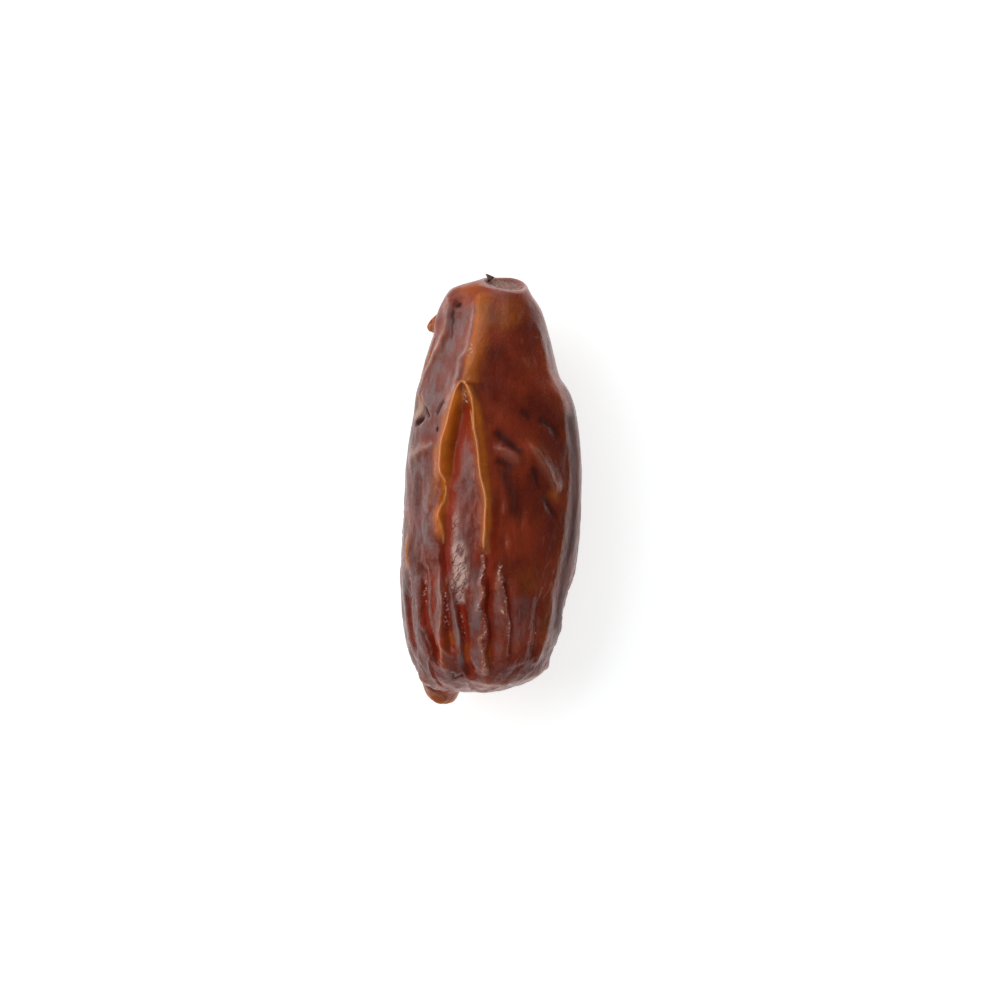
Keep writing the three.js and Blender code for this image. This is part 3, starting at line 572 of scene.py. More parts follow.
class SmoothCurve:
    """A smooth curve through (position, value) pairs. It holds its end values."""

    def __init__(self, pairs: Iterable[tuple[float, float]]) -> None:
        """Takes the pairs.

        Args:
            pairs: The pairs, in any order of position.
        """
        self.at, self.values = np.array(sorted(pairs), dtype=float).T
        before = np.maximum(np.arange(len(self.at)) - 1, 0)
        after = np.minimum(np.arange(len(self.at)) + 1, len(self.at) - 1)
        self.slopes = (self.values[after] - self.values[before]) / (self.at[after] - self.at[before])

    def __call__(self, asked: Array | float) -> Array:
        """Gives the curve's values.

        Args:
            asked: The positions at which they are asked.

        Returns:
            One value for each position.
        """
        position = np.clip(asked, self.at[0], self.at[-1])
        i = np.clip(np.searchsorted(self.at, position, side="right") - 1, 0, len(self.at) - 2)
        span = self.at[i + 1] - self.at[i]
        t = (position - self.at[i]) / span
        bend = t * (1 - t) ** 2 * self.slopes[i] - t**2 * (1 - t) * self.slopes[i + 1]
        return self.values[i] + (self.values[i + 1] - self.values[i]) * t * t * (3 - 2 * t) + span * bend


def smooth_step(value: Array, low: float, high: float) -> Array:
    """Rises smoothly from 0 to 1.

    Args:
        value: Where it is asked.
        low: Where it leaves 0.
        high: Where it reaches 1.

    Returns:
        Its value at each place, which is 1 throughout where low and high are the same.
    """
    if high == low:
        return np.ones_like(value)
    t = np.clip((value - low) / (high - low), 0, 1)
    return t * t * (3 - 2 * t)


def ramp(value: Array, low: float, high: float) -> Array:
    """Rises evenly from 0 at low to 1 at high."""
    return np.clip((value - low) / (high - low), 0, 1)


def smooth_line(places: Array, steps: int = 3) -> Array:
    """Gives points of a centripetal Catmull-Rom line through places.

    Args:
        places: The places, one row each.
        steps: Points for each stretch between two places.

    Returns:
        The points, one row each.
    """
    padded = np.vstack([2 * places[0] - places[1], places, 2 * places[-1] - places[-2]])
    gaps = np.sqrt(np.linalg.norm(np.diff(padded, axis=0), axis=1))
    points = []
    for i in range(len(places) - 1):
        p0, p1, p2, p3 = padded[i : i + 4]
        g0, g1, g2 = gaps[i : i + 3]
        out = ((p1 - p0) / g0 - (p2 - p0) / (g0 + g1) + (p2 - p1) / g1) * g1
        into = ((p2 - p1) / g1 - (p3 - p1) / (g1 + g2) + (p3 - p2) / g2) * g1
        t = np.arange(steps)[:, None] / steps
        start = (2 * t**3 - 3 * t**2 + 1) * p1 + (t**3 - 2 * t**2 + t) * out
        points.append(start + (3 * t**2 - 2 * t**3) * p2 + (t**3 - t**2) * into)
    return np.vstack([*points, places[-1:]])


def grain(points: Array, scale: tuple[float, float, float], seed: float = 0.0) -> Array:
    """Gives smooth noise between about -1 and 1 at points, with scale waves a millimetre along each axis."""
    placed = points * np.array(scale) + seed
    return np.array([noise.noise(Vector(p)) for p in placed])


@dataclass(frozen=True)
class Ground:
    """Points of the smooth body from which the skin's vertices are lifted.

    Attributes:
        points: The points.
        normals: The directions out of the body at them.
        wobble: A slow noise at them, between about -1 and 1 along each axis.
        strayed: The points, shifted a little so that lines over them waver.
    """

    points: Array
    normals: Array
    wobble: Array
    strayed: Array


@dataclass(frozen=True)
class Crinkle:
    """A fine noise that lifts the skin.

    Attributes:
        depth: Its height in millimetres.
        waves: Its waves a millimetre along each axis.
        seed: Which noise it is.
        stray: How far the skin's slow wobble shifts it, in millimetres.
        dip: How far its middle lies under the skin, as a share of its depth.
    """

    depth: float
    waves: tuple[float, float, float]
    seed: float = 0.0
    stray: float = 0.0
    dip: float = 0.0

    def height(self, ground: Ground) -> Array:
        """Gives its height at each point of the ground."""
        places = ground.points + self.stray * ground.wobble
        return self.depth * (grain(places, self.waves, self.seed) - self.dip)


@dataclass
class FruitBody:
    """The smooth body of the fruit, without its folds.

    Attributes:
        stem: The end of the fruit's axis at the stem.
        blossom: The other end of the axis.
        squareness: How square a cross-section is; 2 is an ellipse.
        flank: How far across the back a route can reach, as a share of the way to the body's side.
        sections: The measured sections.
    """

    stem: Array = field(default_factory=lambda: np.array([1.3, 20.7, 10.4]))
    blossom: Array = field(default_factory=lambda: np.array([-1.2, -20.1, 6.2]))
    squareness: float = 2.15
    flank: float = 0.98
    sections: Sequence[Section] = SECTIONS

    def __post_init__(self) -> None:
        """Works out how far each side is from the axis along the fruit."""
        self.left = self._reach(lambda section: section.left, 0)
        self.right = self._reach(lambda section: section.right, 0)
        self.back = self._reach(lambda section: section.back, 2)
        self.belly = self._reach(lambda section: section.belly, 2)

    def _reach(self, side: Callable[[Section], float], coordinate: int) -> Callable[[Array], Array]:
        """Measures one side's distance from the axis.

        Args:
            side: Gives the side's coordinate in a section.
            coordinate: Which coordinate that is.

        Returns:
            The distance at places y. Its square runs smoothly to nothing at the poles.
        """
        pairs = [(s.y, (side(s) - self.axis(s.y)[coordinate]) ** 2) for s in self.sections]
        curve = SmoothCurve([(self.stem[1], 0.0), *pairs, (self.blossom[1], 0.0)])
        return lambda y: np.sqrt(np.maximum(curve(y), 0))

    def axis(self, y: Array | float) -> Array:
        """Gives the axis's points at places y."""
        share = (np.asarray(y) - self.blossom[1]) / (self.stem[1] - self.blossom[1])
        return self.blossom + np.multiply.outer(share, self.stem - self.blossom)

    def points(self, angle: Array, y: Array) -> Array:
        """Gives points of the body.

        Args:
            angle: Their angles round the axis, in radians.
            y: Their places along the fruit.

        Returns:
            The points, one row each.
        """
        c, s = np.cos(angle), np.sin(angle)
        across = np.where(c > 0, self.right(y), self.left(y))
        up = np.where(s > 0, self.back(y), self.belly(y))
        power = 2 / self.squareness
        points = self.axis(y)
        points[..., 0] += across * np.sign(c) * np.abs(c) ** power
        points[..., 2] += up * np.sign(s) * np.abs(s) ** power
        return points

    def normals(self, angle: Array, y: Array) -> Array:
        """Gives the directions out of the body, from short steps over it.

        Args:
            angle: The angles round the axis, in radians.
            y: The places along the fruit.

        Returns:
            The directions, one row each.
        """
        step = 1e-3
        y = np.clip(y, self.blossom[1] + 2 * step, self.stem[1] - 2 * step)
        around = self.points(angle + step, y) - self.points(angle - step, y)
        along = self.points(angle, y + step) - self.points(angle, y - step)
        normals = np.cross(along, around)
        return normals / np.linalg.norm(normals, axis=-1, keepdims=True)

    def back_angle(self, x: Array | float, y: Array | float) -> Array:
        """Finds places of the back.

        Args:
            x: The places across the fruit.
            y: The places along it.

        Returns:
            Their angles round the axis, in radians.
        """
        offset = x - self.axis(y)[..., 0]
        share = np.clip(offset / np.where(offset > 0, self.right(y), self.left(y)), -self.flank, self.flank)
        return np.arccos(np.sign(share) * np.abs(share) ** (self.squareness / 2))

    def lay(self, trace: Trace) -> Array:
        """Lays a trace's route on the body.

        Args:
            trace: The trace.

        Returns:
            Points of a smooth line, one row each.
        """
        place, y = np.array(trace.route, dtype=float).T
        angle = self.back_angle(place, y) if trace.place is Place.BACK else np.radians(place)
        return smooth_line(self.points(angle, y))

    def spread(self, trace: Trace, points: Array, normals: Array) -> Array:
        """Gives a trace's strength at points of the body.

        Args:
            trace: The fold or patch.
            points: Points on the smooth body.
            normals: The directions out of the body at them.

        Returns:
            One strength for each point.
        """
        line = self.lay(trace)
        reach = STROKE_REACH * max(trace.left, trace.right)
        strength = np.zeros(len(points))
        close = np.all((points > line.min(0) - reach) & (points < line.max(0) + reach), axis=1).nonzero()[0]
        point, normal = points[close], normals[close]
        nearest = np.full(len(close), reach)
        value = np.zeros(len(close))
        lengths = np.concatenate([[0], np.cumsum(np.linalg.norm(np.diff(line, axis=0), axis=1))])
        for i, (start, end) in enumerate(zip(line[:-1], line[1:])):
            way = end - start
            t = np.clip((point - start) @ way / (way @ way), 0, 1)
            away = point - start - t[:, None] * way
            distance = np.linalg.norm(away, axis=1)
            on_left = np.einsum("ij,ij->i", np.cross(way, normal), away) > 0
            along = lengths[i] + t * np.linalg.norm(way)
            fall = np.exp(-((distance / np.where(on_left, trace.left, trace.right)) ** trace.power))
            ends = smooth_step(along, 0, trace.rise) * smooth_step(lengths[-1] - along, 0, trace.sink)
            better = distance < nearest
            nearest = np.where(better, distance, nearest)
            value = np.where(better, trace.strength * fall * ends, value)
        strength[close] = value
        return strength

    def dab(self, spot: Spot, points: Array) -> Array:
        """Gives a spot's strength.

        Args:
            spot: The spot.
            points: Points on the smooth body.

        Returns:
            One strength for each point.
        """
        x, y = spot.at
        centre = self.points(self.back_angle(x, y), np.asarray(y))
        distance = np.linalg.norm(points - centre, axis=1)
        return spot.strength * np.exp(-((distance / spot.radius) ** spot.power))


def drawn_pleats(pleats: PleatSet) -> list[Trace]:
    """Draws one set of pleats, each a little off a straight line.

    Args:
        pleats: The set.

    Returns:
        Its pleats as grooves.
    """
    state = pleats.seed

    def between(low: float, high: float) -> float:
        """Draws a value.

        Args:
            low: The least value.
            high: The greatest value.

        Returns:
            The value.
        """
        nonlocal state
        state = (state * DRAW_FACTOR + DRAW_STEP) % DRAW_RANGE
        return low + (high - low) * state / DRAW_RANGE

    traces = []
    for i in range(pleats.count):
        angle = pleats.first + (pleats.last - pleats.first) * i / (pleats.count - 1)
        top, height = between(*pleats.start), -between(*pleats.depth)
        flank, phase = between(*pleats.width), between(0, 2 * math.pi)
        shares = [k / (PLEAT_POINTS - 1) for k in range(PLEAT_POINTS)]
        route = [
            (angle + pleats.drift * math.sin(phase + PLEAT_SWING * share), top + (pleats.end - top) * share)
            for share in shares
        ]
        traces.append(Trace(height, flank, flank, route, place=Place.ROUND))
    return traces


@dataclass
class Scar:
    """The scar of the calyx: a round, slightly sunken face with a raised rim.

    Attributes:
        centre: The middle of its face.
        facing: The direction in which it faces.
        radius: Its radius.
        edge: How wide the slope from its face to its rim is.
        recess: How far its face is sunk.
        rim: How far its rim is raised.
        depth: Points farther behind its face than this don't belong to it.
        tinted: How far inside its rim its colour starts, and how far inside it is full.
        ring_offset: How far outside its rim the skin is drawn tightest.
        ring_width: How wide that ring of tight skin is.
    """

    centre: Array = field(default_factory=lambda: np.array([1.3, 19.95, 10.5]))
    facing: Array = field(default_factory=lambda: np.array([0.16, 0.93, 0.33]))
    radius: float = 2.1
    edge: float = 0.7
    recess: float = 0.25
    rim: float = 0.12
    depth: float = 2.0
    tinted: Span = (0.1, 0.5)
    ring_offset: float = 0.1
    ring_width: float = 0.35

    def __post_init__(self) -> None:
        """Makes the direction one unit long."""
        self.facing = self.facing / np.linalg.norm(self.facing)

    def distance(self, points: Array) -> tuple[Array, Array]:
        """Measures where points are from the scar.

        Args:
            points: Points of the skin.

        Returns:
            How far they are in front of its face, and how far off its middle along the face.
        """
        offset = points - self.centre
        height = offset @ self.facing
        return height, np.linalg.norm(offset - height[:, None] * self.facing, axis=1)

    def press(self, points: Array) -> Array:
        """Presses the stem end into the scar.

        Args:
            points: Points of the skin.

        Returns:
            The points, moved along the direction in which the scar faces.
        """
        height, distance = self.distance(points)
        face = 1 - smooth_step(distance, self.radius - self.edge, self.radius)
        rim = self.rim * np.exp(-((distance - self.radius) / (0.5 * self.edge)) ** 2)
        excess = np.maximum(height, 0) * (1 - smooth_step(distance, self.radius, 2 * self.radius))
        move = np.where(height < -self.depth, 0, rim - excess - self.recess * face)
        return points + move[:, None] * self.facing

    def patches(self, points: Array) -> tuple[Array, Array]:
        """Gives the scar's patches of colour.

        Args:
            points: Points on the smooth body.

        Returns:
            How far they belong to its face, and how far to the tight ring round it, from 0 to 1.
        """
        height, distance = self.distance(points)
        start, full = self.tinted
        face = 1 - smooth_step(distance, self.radius - full, self.radius - start)
        ring = np.exp(-(((distance - self.radius - self.ring_offset) / self.ring_width) ** 2))
        return face * (height > -self.depth), ring * (height > -self.depth)


@dataclass
class Lip:
    """The lip of flesh that stands out under the left of the blossom end.

    Attributes:
        centre: The middle of the skin that it takes along.
        reach: How far it stands out along each axis.
        radius: How far from the middle it ends.
        power: How sharply it ends.
    """

    centre: Array = field(default_factory=lambda: np.array([-5.2, -18.5, 4.2]))
    reach: Array = field(default_factory=lambda: np.array([0.2, -2.2, -0.2]))
    radius: float = 2.2
    power: float = 5.0

    def share(self, points: Array) -> Array:
        """Gives how far points of the body belong to the lip, from 0 to 1."""
        return np.exp(-((np.linalg.norm(points - self.centre, axis=1) / self.radius) ** self.power))


@dataclass
class Column:
    """A line that one column of the skin's mesh follows, and the columns between it and the line before."""

    count: int
    route: Route


@dataclass
class FruitSkin:
    """The fine skin of the date.

    Attributes:
        body: The smooth body under it.
        scar: The scar at its stem end.
        lip: The lip at its blossom end.
        guides: The lines that columns of the mesh follow, from the belly up the right side and round.
        last_count: Columns from the last line to the belly.
        rows: Rows of faces from pole to pole.
        pressed: Folds are pressed out below this height.
        narrow: The widest flank of a fold whose hollow or ridge takes another colour.
        stray: How far folds and patches waver, in millimetres.
        wobble_waves: How many times they do so in a millimetre.
        furrows: The wrinkles all over, twice as deep on the pleats.
        shrivel: The deep crinkles of the hidden sides.
        pores: The finest grain.
        pleat_grain: How much more of it the pleats have.
        wax: The grain of the dull bloom.
        veins: The noise whose zero line is a vein of the hidden sides.
        vein_width: How near that line the vein is.
        vein_depth: How deep a vein is.
        vein_red: How strongly it takes the colour of a groove, which on the hidden sides is painted shade.
        pleated: The places y between which the smooth skin turns into pleats.
        low: The places z between which the skin turns into that of the hidden sides, which is painted darker.
        ahead: The places y between which it does so at the blossom end.
        right: The places x between which the hollows take painted shade instead of red.
        left: The places x between which the skin is painted darker against the strong window light.
        sunk: The depths between which a hollow takes its colour.
        raised: The heights between which a ridge does.
        crested: The heights between which a thin ridge takes its painted highlight.
    """

    body: FruitBody = field(default_factory=FruitBody)
    scar: Scar = field(default_factory=Scar)
    lip: Lip = field(default_factory=Lip)
    guides: Sequence[Column] = (
        Column(56, RIGHT_EDGE),
        Column(118, (*CROWN_RIGHT, *RIGHT_ARM, *MIDDLE_PLEAT)),
        Column(66, (*CROWN_LEFT, *LEFT_ARM, *LEFT_TURN, *LEFT_PLEAT)),
        Column(72, (*SHOULDER_FOLD, *LEFT_FLANK)),
    )
    last_count: int = 60
    rows: int = 264
    pressed: float = 0.9
    narrow: float = 0.9
    stray: float = 0.12
    wobble_waves: float = 0.9
    furrows: Crinkle = Crinkle(0.05, (0.9, 0.4, 0.9), dip=0.8)
    shrivel: Crinkle = Crinkle(0.16, (0.55, 0.12, 0.55), 3.0, stray=0.8, dip=0.3)
    pores: Crinkle = Crinkle(0.015, (2.2, 1.1, 2.2), 7.0)
    pleat_grain: float = 5 / 3
    wax: Crinkle = Crinkle(0.1, (1.2, 0.7, 1.2), 11.0, stray=0.5)
    veins: Crinkle = Crinkle(1.0, (0.42, 0.11, 0.42), 21.0, stray=0.9)
    vein_width: float = 0.11
    vein_depth: float = 0.2
    vein_red: float = 0.7
    pleated: Span = (6.0, -9.0)
    low: Span = (10.5, 6.5)
    ahead: Span = (-20.0, -16.5)
    right: Span = (-0.4, 0.8)
    left: Span = (-4.5, -7.0)
    sunk: Span = (0.2, 0.5)
    raised: Span = (0.0, 0.5)
    crested: Span = (0.05, 0.17)

    @property
    def columns(self) -> int:
        """Gives the number of columns of faces round the fruit."""
        return sum(guide.count for guide in self.guides) + self.last_count

    def _lattice(self, grid: Array) -> tuple[Array, Array]:
        """Lays a flat grid round the body.

        Args:
            grid: The grid's vertices, which lie from -1 to 1 along X and Y.

        Returns:
            Their angles and their places y.
        """
        column = np.round((grid[:, 0] + 1) / 2 * self.columns)
        row = np.round((grid[:, 1] + 1) / 2 * self.rows)
        column[(row == 0) | (row == self.rows)] = 0
        rise = 2 * row / self.rows - 1
        middle = (self.body.stem[1] + self.body.blossom[1]) / 2
        half = (self.body.stem[1] - self.body.blossom[1]) / 2
        y = middle + half * rise * (5 - rise**4) / 4  # rows lie closer together towards the poles
        return self._angles(column, y), y

    def _angles(self, column: Array, y: Array) -> Array:
        """Gives the angles of columns at places y.

        Args:
            column: The columns, counted from the belly up the right side.
            y: The places along the fruit.

        Returns:
            The angles, at which each column keeps its share of the way between the lines at its sides.
        """
        counts = [0]
        angles = [np.full(len(y), -math.pi / 2)]
        for guide in self.guides:
            x, at = np.array(guide.route).T
            counts.append(counts[-1] + guide.count)
            angles.append(SmoothCurve(zip(at, self.body.back_angle(x, at)))(y))
        counts.append(self.columns)
        angles.append(np.full(len(y), 1.5 * math.pi))
        result = angles[0].copy()
        for right, left, low, high in zip(counts[:-1], counts[1:], angles[:-1], angles[1:]):
            inside = (column >= right) & (column <= left)
            result = np.where(inside, low + (high - low) * (column - right) / (left - right), result)
        return result

    def _ground(self, angle: Array, y: Array) -> Ground:
        """Lays the ground of the skin.

        Args:
            angle: Its angles round the body's axis, in radians.
            y: Its places along the fruit.

        Returns:
            The ground.
        """
        points, normals = self.body.points(angle, y), self.body.normals(angle, y)
        wobble = np.array([noise.noise_vector(Vector(p)) for p in points * self.wobble_waves])
        return Ground(points, normals, wobble, points + self.stray * wobble * self._loose(points)[:, None])

    def _loose(self, points: Array) -> Array:
        """Gives how free of the scar points are, from 0 on it to 1 well away from it."""
        away = np.linalg.norm(points - self.scar.centre, axis=1)
        return smooth_step(away, self.scar.radius, 2 * self.scar.radius)

    def _spreads(self, points: Array, ground: Ground, traces: Iterable[Trace]) -> Array:
        """Gives the strengths of traces, one row for each, at the ground's own or strayed points."""
        return np.array([self.body.spread(trace, points, ground.normals) for trace in traces])

    def _lift(self, points: Array, ground: Ground, traces: Iterable[Trace]) -> Array:
        """Gives how far folds lift the skin at points: the highest ridge there less the deepest groove."""
        lifts = self._spreads(points, ground, traces)
        return np.maximum(lifts.max(axis=0), 0) + np.minimum(lifts.min(axis=0), 0)

    def _lifts(self, ground: Ground) -> dict[str, Array]:
        """Gives what each kind of fold lifts the skin by.

        Args:
            ground: The points under the skin.

        Returns:
            The lifts in millimetres of all large folds, of the narrow ones among them, of the crests and of
            the fine folds.
        """
        drawn = [trace for pleats in PLEAT_SETS for trace in drawn_pleats(pleats)]
        folds = [*CROWN_FOLDS, *LEFT_FOLDS, *RIGHT_FOLDS, *PLEATS, *drawn]
        narrow = [fold for fold in folds if max(fold.left, fold.right) <= self.narrow]
        swellings = sum(self.body.dab(spot, ground.points) for spot in SPOTS)
        return {
            "large": self._lift(ground.strayed, ground, folds) + swellings,
            "narrow": self._lift(ground.strayed, ground, narrow),
            "crests": self._lift(ground.points, ground, CRESTS),
            "fine": self._lift(ground.strayed, ground, FINE_FOLDS),
        }

    def _masks(self, ground: Ground, lifts: dict[str, Array]) -> dict[str, Array]:
        """Gives the skin's colour masks.

        Args:
            ground: The points under the skin.
            lifts: What each kind of fold lifts the skin by.

        Returns:
            The strength from 0 to 1 of each mask at each point, by the mask's name.
        """
        masks = {
            name: self._spreads(points, ground, traces).max(axis=0)
            for points, patches in ((ground.strayed, WAVERING_PATCHES), (ground.points, STEADY_PATCHES))
            for name, traces in patches.items()
        }
        x, y, z = ground.points.T
        pleated = smooth_step(y, *self.pleated)
        hidden = smooth_step(z, *self.low) * smooth_step(y, *self.ahead)
        veins = hidden * np.exp(-((self.veins.height(ground) / self.vein_width) ** 2))
        sunk = ramp(-lifts["narrow"] - lifts["fine"], *self.sunk)
        scar, ring = self.scar.patches(ground.points)
        return masks | {
            "pleated": pleated,
            "hidden": hidden,
            "veins": veins,
            "lip": self.lip.share(ground.points),
            "crest": ramp(lifts["crests"], *self.crested),
            "ridge": ramp(lifts["narrow"], *self.raised),
            "groove": np.maximum.reduce([sunk, masks["deep"], self.vein_red * veins]),
            # On the dome and the hidden sides the hollows take painted shade.
            "dome": np.maximum(smooth_step(x, *self.right) * (1 - pleated), hidden),
            # The left and hidden sides: painted darker against the window light, and bumped more.
            "side": np.maximum(smooth_step(x, *self.left), hidden),
            "ring": ring,
            "scar": scar,
        }

    def _wrinkles(self, ground: Ground, masks: dict[str, Array]) -> Array:
        """Gives how far the wrinkles lift the skin.

        Args:
            ground: The points under the skin.
            masks: The colour masks.

        Returns:
            The lift of each point in millimetres.
        """
        pleated = masks["pleated"]
        wrinkles = (1 + pleated) * self.furrows.height(ground)
        wrinkles += masks["hidden"] * self.shrivel.height(ground)
        wrinkles -= self.vein_depth * masks["veins"]
        wrinkles += (1 + self.pleat_grain * pleated) * self.pores.height(ground)
        wrinkles += masks["bloom_and_sheen"] * (1 - pleated) * self.wax.height(ground)
        return wrinkles

    def build(self) -> bpy.types.Object:
        """Builds the skin's mesh and its colour attributes.

        Returns:
            The skin's object, in metres in the part's frame.
        """
        sheet = bmesh.new()
        bmesh.ops.create_grid(sheet, x_segments=self.columns, y_segments=self.rows, size=1)
        ground = self._ground(*self._lattice(np.array([vertex.co for vertex in sheet.verts])))
        lifts = self._lifts(ground)
        masks = self._masks(ground, lifts)
        lift = lifts["large"] + lifts["crests"] + lifts["fine"] + self._wrinkles(ground, masks)
        lift *= self._loose(ground.points) * smooth_step(ground.points[:, 2], 0, self.pressed)
        moved = ground.points + lift[:, None] * ground.normals + masks["lip"][:, None] * self.lip.reach
        moved = self.scar.press(moved)
        moved[:, 2] = np.maximum(moved[:, 2], 0)
        masks = {name: mask for name, mask in masks.items() if name not in ("hidden", "veins", "deep")}
        layers = {name: sheet.verts.layers.float.new(name) for name in masks}
        for i, vertex in enumerate(sheet.verts):
            vertex.co = moved[i] * MM
            for name, layer in layers.items():
                vertex[layer] = masks[name][i]
        border = [vertex for vertex in sheet.verts if vertex.is_boundary]
        bmesh.ops.remove_doubles(sheet, verts=border, dist=1e-7)
        bmesh.ops.reverse_faces(sheet, faces=sheet.faces)
        return finished(sheet, "date_skin")


@dataclass
class Flake:
    """A flake of skin that has lifted at the left shoulder.

    Attributes:
        outline: Its outline in the picture, from its root round.
        height: How high its root is.
        thickness: How thick it is.
        edge: How far its edges are rounded.
        droop: How much lower than its root it is, once it is a span away.
        span: That distance.
        ripple: How high its ripples are.
        ripple_waves: How many of them a millimetre holds.
    """

    outline: Route = seen((440, 312), (435, 316), (430, 321), (427, 327), (429, 331), (433, 333), (438, 335))
    height: float = 9.3
    thickness: float = 0.25
    edge: float = 0.08
    droop: float = 0.7
    span: float = 1.2
    ripple: float = 0.12
    ripple_waves: float = 0.8

    def build(self) -> bpy.types.Object:
        """Builds the flake as a thin bent plate with a round edge.

        Returns:
            The flake's object, in metres in the part's frame.
        """
        sheet = bmesh.new()
        places = smooth_line(np.array([(*place, 0.0) for place in self.outline]), 6)
        root = places[:, 0].max()
        rim = [sheet.verts.new(place) for place in places]
        face = sheet.faces.new(rim)
        bmesh.ops.triangulate(sheet, faces=[face])
        bmesh.ops.subdivide_edges(sheet, edges=sheet.edges, cuts=2, use_grid_fill=True)
        bmesh.ops.solidify(sheet, geom=sheet.faces, thickness=self.thickness)
        sharp = [edge for edge in sheet.edges if edge.calc_face_angle(0) > 1]
        bmesh.ops.bevel(
            sheet, geom=sharp, affect="EDGES", offset=self.edge, segments=2, profile=0.5, material=-1
        )
        for vertex in sheet.verts:
            away = (root - vertex.co.x) / self.span
            ripple = self.ripple * noise.noise(vertex.co * self.ripple_waves)
            vertex.co.z += self.height - self.droop * away**2 + ripple
        bmesh.ops.scale(sheet, vec=(MM, MM, MM), verts=sheet.verts)
        bmesh.ops.recalc_face_normals(sheet, faces=sheet.faces)
        return finished(sheet, "date_flake")


@dataclass
class Fibre:
    """A broken fibre at the far edge of the scar.

    Attributes:
        foot: The middle of its foot.
        tip: Its tip.
        radius: The foot's radius.
        tip_radius: The tip's radius.
        bend: How far the tip is bent to the side.
        ragged: How far the foot's points are strewn.
    """

    foot: tuple[float, float, float] = (0.0, 20.4, 10.15)
    tip: tuple[float, float, float] = (-0.45, 21.05, 10.1)
    radius: float = 0.38
    tip_radius: float = 0.04
    bend: float = 0.15
    ragged: float = 0.08

    def build(self) -> bpy.types.Object:
        """Builds the fibre as a bent, ragged thorn.

        Returns:
            The fibre's object, in metres in the part's frame.
        """
        thorn = bmesh.new()
        foot, tip = Vector(self.foot), Vector(self.tip)
        length = (tip - foot).length
        bmesh.ops.create_cone(
            thorn, cap_ends=True, segments=24, radius1=self.radius, radius2=self.tip_radius, depth=length
        )
        bmesh.ops.subdivide_edges(thorn, edges=thorn.edges, cuts=3, use_grid_fill=True)
        turn = (tip - foot).to_track_quat("Z", "Y").to_matrix().to_4x4()
        for vertex in thorn.verts:
            share = vertex.co.z / length + 0.5
            vertex.co.x += self.bend * share * share
            vertex.co += self.ragged * noise.noise_vector(vertex.co * 2.0) * (1 - share)
            vertex.co.z += length / 2
        bmesh.ops.transform(thorn, matrix=turn, verts=thorn.verts)
        bmesh.ops.translate(thorn, vec=foot, verts=thorn.verts)
        bmesh.ops.scale(thorn, vec=(MM, MM, MM), verts=thorn.verts)
        bmesh.ops.recalc_face_normals(thorn, faces=thorn.faces)
        return finished(thorn, "date_fibre")


@dataclass(frozen=True)
class Pattern:
    """A noise whose middle levels are spread over a range of values.

    Attributes:
        scale: How fine it is, in waves a millimetre.
        low: The level that becomes the least value.
        high: The level that becomes the greatest value.
        least: The least value.
        most: The greatest value.
        detail: How ragged it is.
    """

    scale: float
    low: float
    high: float
    least: float = 0.0
    most: float = 1.0
    detail: float = 3.0


